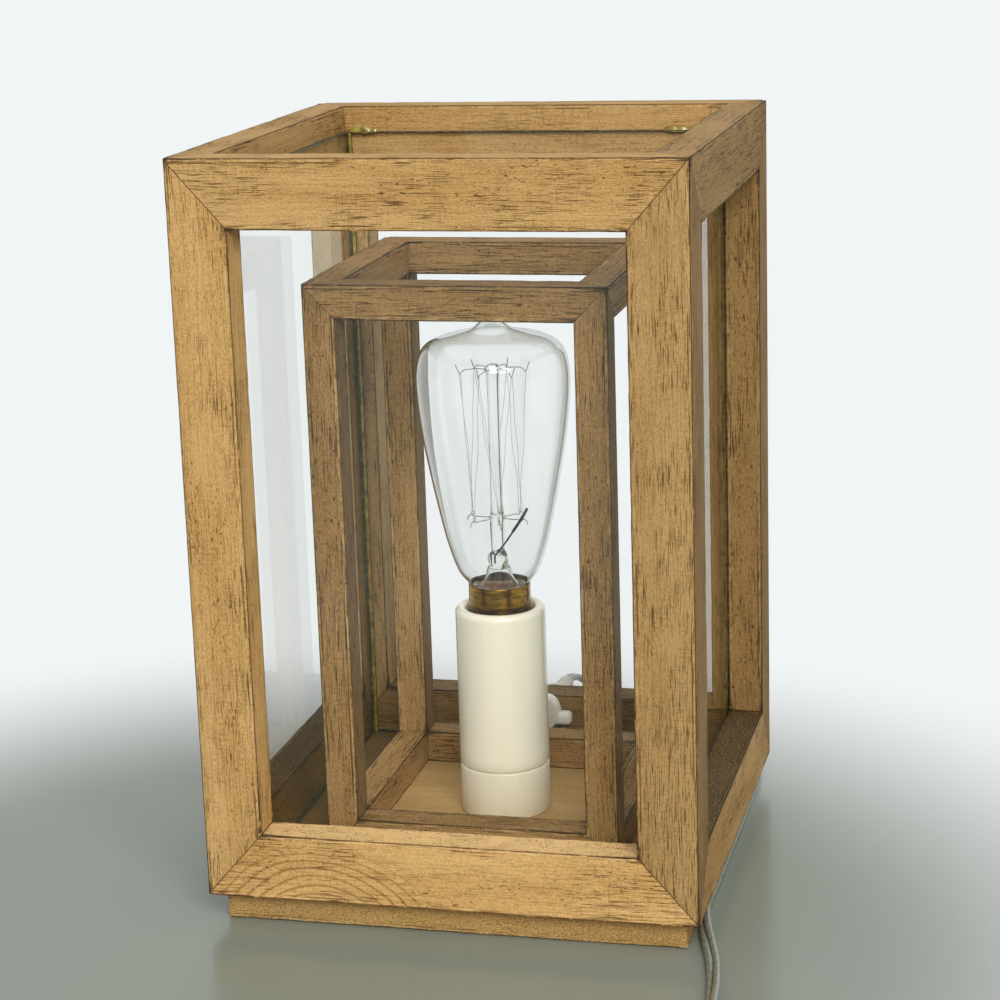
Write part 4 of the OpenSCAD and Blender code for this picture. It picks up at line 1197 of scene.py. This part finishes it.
def bulb_outline():
    """Radius and height of the bulb's outside, from the neck to the pip."""
    shares = [
        (0.380, 0.000), (0.455, 0.020), (0.545, 0.060), (0.660, 0.160), (0.760, 0.285),
        (0.860, 0.430), (0.945, 0.575), (0.995, 0.720), (0.985, 0.815), (0.900, 0.880),
        (0.700, 0.915), (0.430, 0.933), (0.270, 0.946), (0.175, 0.968), (0.110, 0.990),
    ]
    points = [
        Vector((r * BULB_R if i else NECK_R, 0, CAP_TOP + h * BULB_H))
        for i, (r, h) in enumerate(shares)
    ]
    line = curved(points, 6)
    tip = [(0.095 * BULB_R, 0.9945), (0.07 * BULB_R, 0.9985), (0.03 * BULB_R, 1.0), (0, 1.0)]
    return (
        [(NECK_R, CAP_TOP - 5.5), (NECK_R, CAP_TOP - 2)]
        + [(p.x, p.z) for p in line]
        + [(r, CAP_TOP + share * BULB_H) for r, share in tip]
    )


def make_bulb_glass():
    bm = turned(bulb_outline(), 128)
    glass = finished(
        bm, "clear_bulb", "bulb_body",
        glass_finish("bulb_glass", tint(250, 253, 251), tint(112, 116, 92), ripple=0.09),
        ("bulb_glass",), 180,
    )
    wall = glass.modifiers.new("wall", "SOLIDIFY")
    wall.thickness = 0.8 * MM
    wall.offset = -1
    return glass


def make_stem():
    """The flare sealed in the neck, the pinched glass round the lead-in wires, and the rod
    with its two buttons."""
    glass = glass_finish(
        "stem_glass", tint(246, 250, 245), tint(86, 90, 72), rough=0.03, ripple=0.25
    )
    z = CAP_TOP
    bm = turned(
        [
            (11.2, z - 2.6), (10.2, z - 1.9), (8.2, z - 0.7), (6.6, z + 1.0), (5.6, z + 3),
            (5.1, z + 5.4), (4.7, z + 6.6), (4.2, z + 6.6), (4.5, z + 5.2), (5.0, z + 2.9),
            (6.0, z + 0.7), (7.8, z - 1.2), (10.0, z - 2.4), (11.0, z - 3.1),
        ],
        64, closed=True,
    )
    finished(bm, "stem_flare", "bulb_body", glass, (), 60)
    bm = bmesh.new()
    # The pinch: flattened, a little crooked, with a waist under the rod
    pinch = bmesh.ops.create_uvsphere(bm, u_segments=32, v_segments=20, radius=MM)["verts"]
    for v in pinch:
        p = v.co / MM
        wobble = 1 + 0.22 * noise.noise(p * 1.4 + Vector((4, 1, 2)))
        v.co = mm(p.x * 4.4 * wobble, p.y * 2.6 * wobble, p.z * 4.8 * wobble + z + 9.6)
    rod = bmesh.ops.create_circle(bm, cap_ends=False, segments=32, radius=MM)
    heights = [12.0, 13.4, 15, 18, 26, 27.2, 28, 28.8, 30, 34, 50, 70, 86, 89.6, 90.6, 91.4]
    heights += [92.2, 93, 93.4]
    sizes = [2.0, 2.5, 2.75, 2.8, 2.8, 3.1, 3.5, 3.1, 2.75, 2.6, 2.5, 2.5, 2.6, 2.9, 3.4]
    sizes += [3.4, 2.9, 1.9, 0.8]
    drawn(bm, rod["verts"], bearings([mm(0, 0, z + h) for h in heights]), sizes)
    finished(bm, "glass_stem", "bulb_body", glass, ("bulb_stem",), 180)


def seal_finish():
    """The brown cement and the shadowed seal deep in the neck."""
    f = Finish("neck_cement")
    grit = f.noise(f.place(), 600, 3, 0.7)
    return f.skin(
        colour=f.mix(tint(92, 52, 38), tint(158, 104, 80), grit.rise(0.4, 0.7)),
        rough=0.55 + grit * 0.2, relief=f.bump(grit, 0.0003, 0.8),
    )


def make_neck_cement():
    z = CAP_TOP
    bm = turned(
        [
            (0, z - 4.9), (11.0, z - 4.9), (11.3, z - 4.6), (11.2, z - 3.4), (9.6, z - 2.9),
            (6, z - 2.6), (0, z - 2.6),
        ],
        64,
    )
    finished(bm, "neck_cement", "bulb_body", seal_finish())


def hook_points(ring, z, shift):
    return [
        Vector(
            (
                ring * math.cos(2 * math.pi * (k + shift) / HOOKS),
                ring * math.sin(2 * math.pi * (k + shift) / HOOKS), z,
            )
        )
        for k in range(HOOKS)
    ]


HOOKS_TOP = hook_points(HOOK_TOP_R, HOOK_TOP_Z, 0.3)
HOOKS_LOW = hook_points(HOOK_LOW_R, HOOK_LOW_Z, 0.8)


def make_hooks():
    """Fine wires out of the two buttons, each ending in an open eye."""
    bm = bmesh.new()
    for points, way in ((HOOKS_TOP, 1), (HOOKS_LOW, -1)):
        for k, p in enumerate(points):
            out = Vector((p.x, p.y, 0)).normalized()
            side = Z.cross(out)
            sag = 0.7 * noise.noise(Vector((k * 2.3, way * 4, 1)))
            start = out * 2.0 + Z * (p.z - way * 0.2)
            line = [start, start.lerp(p, 0.4) + Z * (0.5 * way + sag * 0.5)]
            line.append(start.lerp(p, 0.8) + Z * (0.2 * way + sag) + side * 0.3)
            # The top ones end in an open V, the low ones in a curl and a short leg
            ends = {
                1: ((-0.9, -0.6), (-0.3, -1.5), (0.3, -1.3), (0.9, 0.1), (1.9, 2.6)),
                -1: (
                    (-1.6, -0.6), (-0.2, -0.4), (0.5, 0.7), (0.1, 1.6), (-0.7, 1.2),
                    (-0.3, 0.2), (0.9, 0.1), (1.8, -0.6), (2.2, -2.2),
                ),
            }[way]
            for reach, up in ends:
                line.append(p + out * reach + Z * (up + 0.3 * sag) + side * 0.2 * reach)
            wire(bm, [q * MM for q in curved(line, 2)], 0.36, 6)
    finished(
        bm, "hook_wires", "bulb_body",
        metal_finish("bright_wire", tint(168, 166, 160), tint(96, 94, 88), 0.3, scale=900),
        ("support_wires",), 80,
    )


def filament_finish():
    """Carbon filament: nearly black, a little rough, glinting."""
    f = Finish("filament")
    grit = f.noise(f.place(), 2600, 2)
    return f.skin(
        colour=f.mix(tint(136, 130, 120), tint(176, 172, 162), grit), rough=0.42 + grit * 0.2,
        metal=0.3, relief=f.bump(grit, 0.00005, 0.6),
    )


def make_filament():
    """One long thread that zigzags between the two rings of hooks."""
    bm = bmesh.new()
    for k in range(HOOKS):
        ends = [(HOOKS_LOW[k], HOOKS_TOP[k])]
        if k < HOOKS - 1:
            ends.append((HOOKS_LOW[k], HOOKS_TOP[(k + 1) % HOOKS]))
        for n, (low, high) in enumerate(ends):
            out = Vector((low.x, low.y, 0)).normalized() * (0.3 - 0.6 * n)
            line = []
            low, high = low + Z * 1.3, high - Z * 1.3
            for i in range(25):
                t = i / 24
                bow = math.sin(math.pi * t)
                wave = noise.noise(Vector((k * 3.7 + n, t * 3, 2))) * 0.9 * bow
                line.append((low + out).lerp(high + out, t) + Vector((wave, 0.6 * wave, 0)))
            wire(bm, [q * MM for q in line], 0.18, 5)
    finished(bm, "filament_thread", "bulb_body", filament_finish(), ("filament",), 80)


def make_lead_in_wires():
    """Two stiff wires out of the pinch: one is broken off and has blackened."""
    bm = bmesh.new()
    z = CAP_TOP
    broken = [(-1.2, -1.2, z + 8.5), (-1.0, -2.2, z + 11.5), (0.6, -2.8, z + 13.8)]
    broken += [(4.2, -2.9, z + 18.4), (8.4, -3.1, z + 24.6), (11.4, -3.3, z + 29)]
    broken.append((13.6, -3.4, z + 33))
    line = curved([mm(*p) for p in broken], 5)
    sizes = [
        0.8 + 0.45 * (i > 18) + 0.2 * noise.noise(Vector((i * 0.6, 2, 5)))
        for i in range(len(line))
    ]
    wire(bm, line, 0.95, 10, sizes)
    whole = [(-2.4, 0.9, z + 7), (-3.0, 1.2, z + 13), (-3.3, 1.4, z + 19), (-3.5, 1.6, z + 25.6)]
    wire(bm, curved([mm(*p) for p in whole], 5), 0.36, 8)
    finished(
        bm, "lead_in_wires", "bulb_body",
        metal_finish("dark_wire", tint(52, 44, 38), tint(28, 24, 22), 0.45, 0.6, 700),
        ("lead_wires",), 80,
    )


def make_cap():
    """The brass screw cap: a rolled top, a plain collar and a rolled thread."""
    r, z, pitch = CAP_R, CAP_TOP, 3.62
    low = z - 22
    profile = [(r - 2.2, low - 1.6), (r - 1.2, low)]
    profile += [
        (r - 0.35 + 0.35 * math.cos(math.radians(30 * i)), low + 0.6 + i * pitch / 12)
        for i in range(int(11.4 / pitch * 12) + 1)
    ]
    profile += [
        (r - 0.25, z - 10.2), (r, z - 9.7), (r, z - 3.4), (r - 0.12, z - 2.9), (r, z - 2.4),
        (r, z - 0.5), (r - 0.1, z - 0.15), (r - 0.3, z), (r - 0.45, z - 0.1), (r - 0.5, z - 0.6),
        (r - 0.5, z - 6.4), (r - 1.3, z - 7.2), (r - 1.3, low + 0.4), (r - 2.2, low - 1),
    ]
    finished(
        turned(profile, 96, closed=True), "brass_cap", "bulb_cap_body",
        aged_brass_finish(), ("bulb_cap",), 50,
    )
    refinish(
        "cap_insulator", moulded_finish("black_glass", tint(34, 32, 34), tint(16, 15, 17), 0.12),
    )
    refinish("cap_contact", STEEL)


make_bulb_glass()
make_stem()
make_neck_cement()
make_hooks()
make_filament()
make_lead_in_wires()
make_cap()

# ---------------------------------------------------------------- fittings of the lead

WHITE = moulded_finish("white_plastic", tint(230, 228, 218), tint(206, 202, 188), 0.4)
FROSTED = moulded_finish(
    "clear_plastic", tint(206, 210, 204), tint(196, 201, 195), 0.3, 0.3, soft=0.2
)


def make_strain_relief():
    """The white grip: a stepped head, a peg through the rail and a ribbed tail."""
    bm = bmesh.new()
    y0, y1, z = INSIDE - PANE_T - 7, INSIDE - PANE_T, RELIEF_Z
    low = block(bm, (-12.2, y0 + 0.6, z - 4.6), (12.2, y1, z + 1.6))
    ease(bm, edges_at(low), 2.2, 4)
    lobe = bmesh.ops.create_cone(
        bm, cap_ends=True, segments=48, radius1=8 * MM, radius2=8 * MM, depth=6.9 * MM,
        matrix=Matrix.Translation(mm(0, y0 + 3.45, z + 1.2))
        @ Matrix.Rotation(math.pi / 2, 4, "X"),
    )["verts"]
    rims = [e for e in edges_at(lobe) if abs(e.verts[0].co.y - e.verts[1].co.y) < 1e-6]
    bmesh.ops.scale(bm, vec=(0.85, 1, 1), verts=lobe)
    ease(bm, rims, 1.0, 3)
    tail = bmesh.ops.create_circle(bm, cap_ends=False, segments=40, radius=MM)["verts"]
    half = FRAME_W / 2
    stations = [(y1 - 0.5, 5.0), (half, 5.0), (half + 0.01, 7.3), (101.2, 7.5), (101.8, 7.2)]
    stations += [(102.4, 6.2), (103, 5.2)]
    for k in range(6):
        y, r = 104 + k * 3.2, 5.0 - k * 0.27
        for step, more in ((0, 0), (0.9, 0), (1.1, -0.8), (2.2, -0.85), (2.4, -0.05)):
            stations.append((y + step, r + more - step * 0.08))
    stations += [(123.6, 3.5), (124, 3.3)]
    turns = [
        Matrix.Translation(mm(0, y, z)) @ Matrix.Rotation(-math.pi / 2, 4, "X")
        for y, _ in stations
    ]
    sizes = [r for _, r in stations]
    drawn(bm, tail, turns, sizes)
    return finished(bm, "white_grip", "lantern", WHITE, ("strain_relief",), 40)


def make_inner_lead(finish):
    """The short stretch inside the lamp, from the grip to the foot ring, and two cores."""
    bm = bmesh.new()
    ring, lay = twin_outline(bm)
    route = [
        (6.5, 79, 26.4), (6.5, 79, 24.6), (6.3, 77.8, 22.2), (5.8, 74.6, 20.2),
        (4.8, 69, 19.5), (3.2, 61, 19.5), (1.9, 47.5, 19.5), (0.4, 31, 19.5), (0, 23, 19.5),
        (0, 15.5, 19.5),
    ]
    drawn(bm, ring, bearings(curved([mm(*p) for p in route], 4)), along=lay)
    for side in (-1, 1):
        core = [
            (side * 1.3, 15.6, 19.5), (side * 1.6, 13.5, 19.8), (side * 4.4, 11, 23),
            (side * 8.6, 6, 29), (side * 10, 1.5, 33), (side * 10, 0, 36), (side * 10, 0, 38),
        ]
        wire(bm, curved([mm(*p) for p in core], 3), 2, 10)
    finished(bm, "inner_lead", "lantern", finish, ("inner_cord",), 60)


def worked_copy(node, name, finish, soften, segments=2, angle=40, body="lantern"):
    """A CAD node's shape with its edges eased, as moulded or stamped parts have them."""
    bm = copied(node)
    piece = finished(bm, name, body, finish, (node,), angle)
    edge = piece.modifiers.new("eased", "BEVEL")
    edge.width, edge.segments = soften * MM, segments
    edge.limit_method, edge.angle_limit = "ANGLE", math.radians(angle)
    edge.use_clamp_overlap = True
    return piece


def make_plug():
    """A moulded plug: a ribbed neck that swells to a flat body with finger dents."""
    bm = bmesh.new()
    x, y, z = PLUG
    ring = bmesh.ops.create_circle(bm, cap_ends=False, segments=48, radius=MM)["verts"]
    stations = [
        (0, 4.4, 4.4), (0.5, 4.8, 4.8), (2.2, 5.0, 4.9), (2.5, 4.5, 4.4), (3.6, 4.6, 4.5),
        (3.9, 5.5, 5.2), (5.6, 5.9, 5.5), (5.9, 5.3, 4.9), (7.0, 5.6, 5.1), (7.4, 6.6, 5.9),
        (10, 8.0, 6.9), (13, 9.8, 8.0), (16, 11.0, 8.8), (19, 11.5, 8.9), (23, 11.2, 8.4),
        (27, 11.3, 8.6), (31, 11.9, 9.7), (34, 12, 10.0), (35.3, 11.8, 9.9), (36, 11.0, 9.2),
    ]
    places = [
        Matrix.Translation(mm(x, y + run, z))
        @ Matrix.Diagonal((wide, 1, high, 1))
        @ Matrix.Rotation(-math.pi / 2, 4, "X")
        for run, wide, high in stations
    ]
    drawn(bm, ring, places)
    return finished(bm, "plug_moulding", "lantern", FROSTED, ("plug_body",), 50)


def make_fittings():
    grip = make_strain_relief()
    make_inner_lead(lead.data.materials[0])
    lower = worked_copy("switch_lower", "switch_lower_shell", FROSTED, 0.7)
    upper = worked_copy("switch_upper", "switch_upper_shell", FROSTED, 0.7)
    wheel = worked_copy(
        "switch_wheel", "ribbed_wheel", WHITE, 0.15, 1, body="wheel_body"
    )
    refinish("switch_screw", STEEL)
    tie = worked_copy(
        "cord_tie", "coil_tie",
        moulded_finish("tie", tint(38, 38, 40), tint(24, 24, 26), 0.5, 0), 0.3,
    )
    plug = make_plug()
    blades = worked_copy(
        "plug_blades", "plug_blades_brass",
        metal_finish("blades", tint(206, 188, 140), tint(168, 150, 104), 0.22), 0.3,
    )
    return [grip, lower, upper, wheel, cad["switch_screw"], tie, plug, blades]


on_lead = make_fittings()

# ---------------------------------------------------------------- studio

PAPER = tint(241, 245, 246)


def seen(f):
    """1 for what the camera sees straight, and 1 for what it sees in a gloss or through
    glass. Both are 0 for the light that falls on the lamp."""
    path = f.node("ShaderNodeLightPath").socket.node.outputs
    straight, mirrored, through = (
        Flow(f, path[way]) for way in ("Is Camera Ray", "Is Glossy Ray", "Is Transmission Ray")
    )
    return straight, mirrored.most(through)


def floor_finish():
    """A plain pale floor, a cool grey round the lamp that goes over to white."""
    f = Finish("floor")
    across, away, _ = f.split(f.place())
    far = (((across + 0.05) ** 2.0 + (away + 0.12) ** 2.0) ** 0.5).rise(0.2, 0.42)
    bloom = f.noise(f.place(), 3.0, 2)
    near = f.node(
        "ShaderNodeBsdfPrincipled", None,
        {
            "Base Color": f.mix(tint(126, 134, 124), tint(136, 144, 134), bloom),
            "Roughness": 0.16 + bloom * 0.06, "Specular IOR Level": 0.35,
        },
    )
    white = f.node("ShaderNodeEmission", None, {"Color": PAPER, "Strength": 1.0})
    straight, mirrored = seen(f)
    share = far * straight.most(mirrored)
    both = f.node("ShaderNodeMixShader", None, [share, near, white])
    return f.ends(both)


def set_world():
    """An even room that the camera sees as white, and a gloss as white from behind."""
    world = bpy.data.worlds.new("studio")
    f = Finish("studio", world)
    _, away, _ = f.split(f.node("ShaderNodeTexCoord", out="Generated"))
    straight, mirrored = seen(f)
    behind = straight.most(away.rise(-0.25, 0.35) * mirrored)
    room = f.node("ShaderNodeBackground", None, [(1.0, 0.99, 0.97, 1), 0.5])
    white = f.node("ShaderNodeBackground", None, [PAPER, 1.0])
    both = f.node("ShaderNodeMixShader", None, [behind, room, white])
    bpy.context.scene.world = f.ends(both, "ShaderNodeOutputWorld")


def make_studio():
    bm = bmesh.new()
    bmesh.ops.create_grid(bm, x_segments=4, y_segments=4, size=14)
    bmesh.ops.translate(bm, verts=bm.verts, vec=(0, 0, -0.0002))
    mesh = bpy.data.meshes.new("floor")
    bm.to_mesh(mesh)
    bm.free()
    floor = bpy.data.objects.new("floor", mesh)
    mesh.materials.append(floor_finish())
    bpy.context.scene.collection.objects.link(floor)

    def lamp(name, size, at, to, power, colour=(1, 1, 1)):
        light = bpy.data.lights.new(name, "AREA")
        light.shape, light.size, light.size_y = "RECTANGLE", *size
        light.energy, light.color = power, colour
        holder = bpy.data.objects.new(name, light)
        holder.location = at
        holder.rotation_mode = "QUATERNION"
        holder.rotation_quaternion = (Vector(to) - Vector(at)).to_track_quat("-Z", "Y")
        holder.visible_transmission = False
        holder.visible_glossy = name == "key"
        bpy.context.scene.collection.objects.link(holder)

    lamp("key", (1.1, 1.1), (0.75, -1.55, 1.25), (0, 0, 0.14), 36, (1.0, 0.975, 0.94))
    lamp("window", (1.8, 1.0), (-0.3, 1.9, 1.1), (0, 0, 0.2), 12, (0.97, 0.99, 1.0))
    set_world()
    bpy.context.scene.view_settings.view_transform = "Standard"


make_studio()
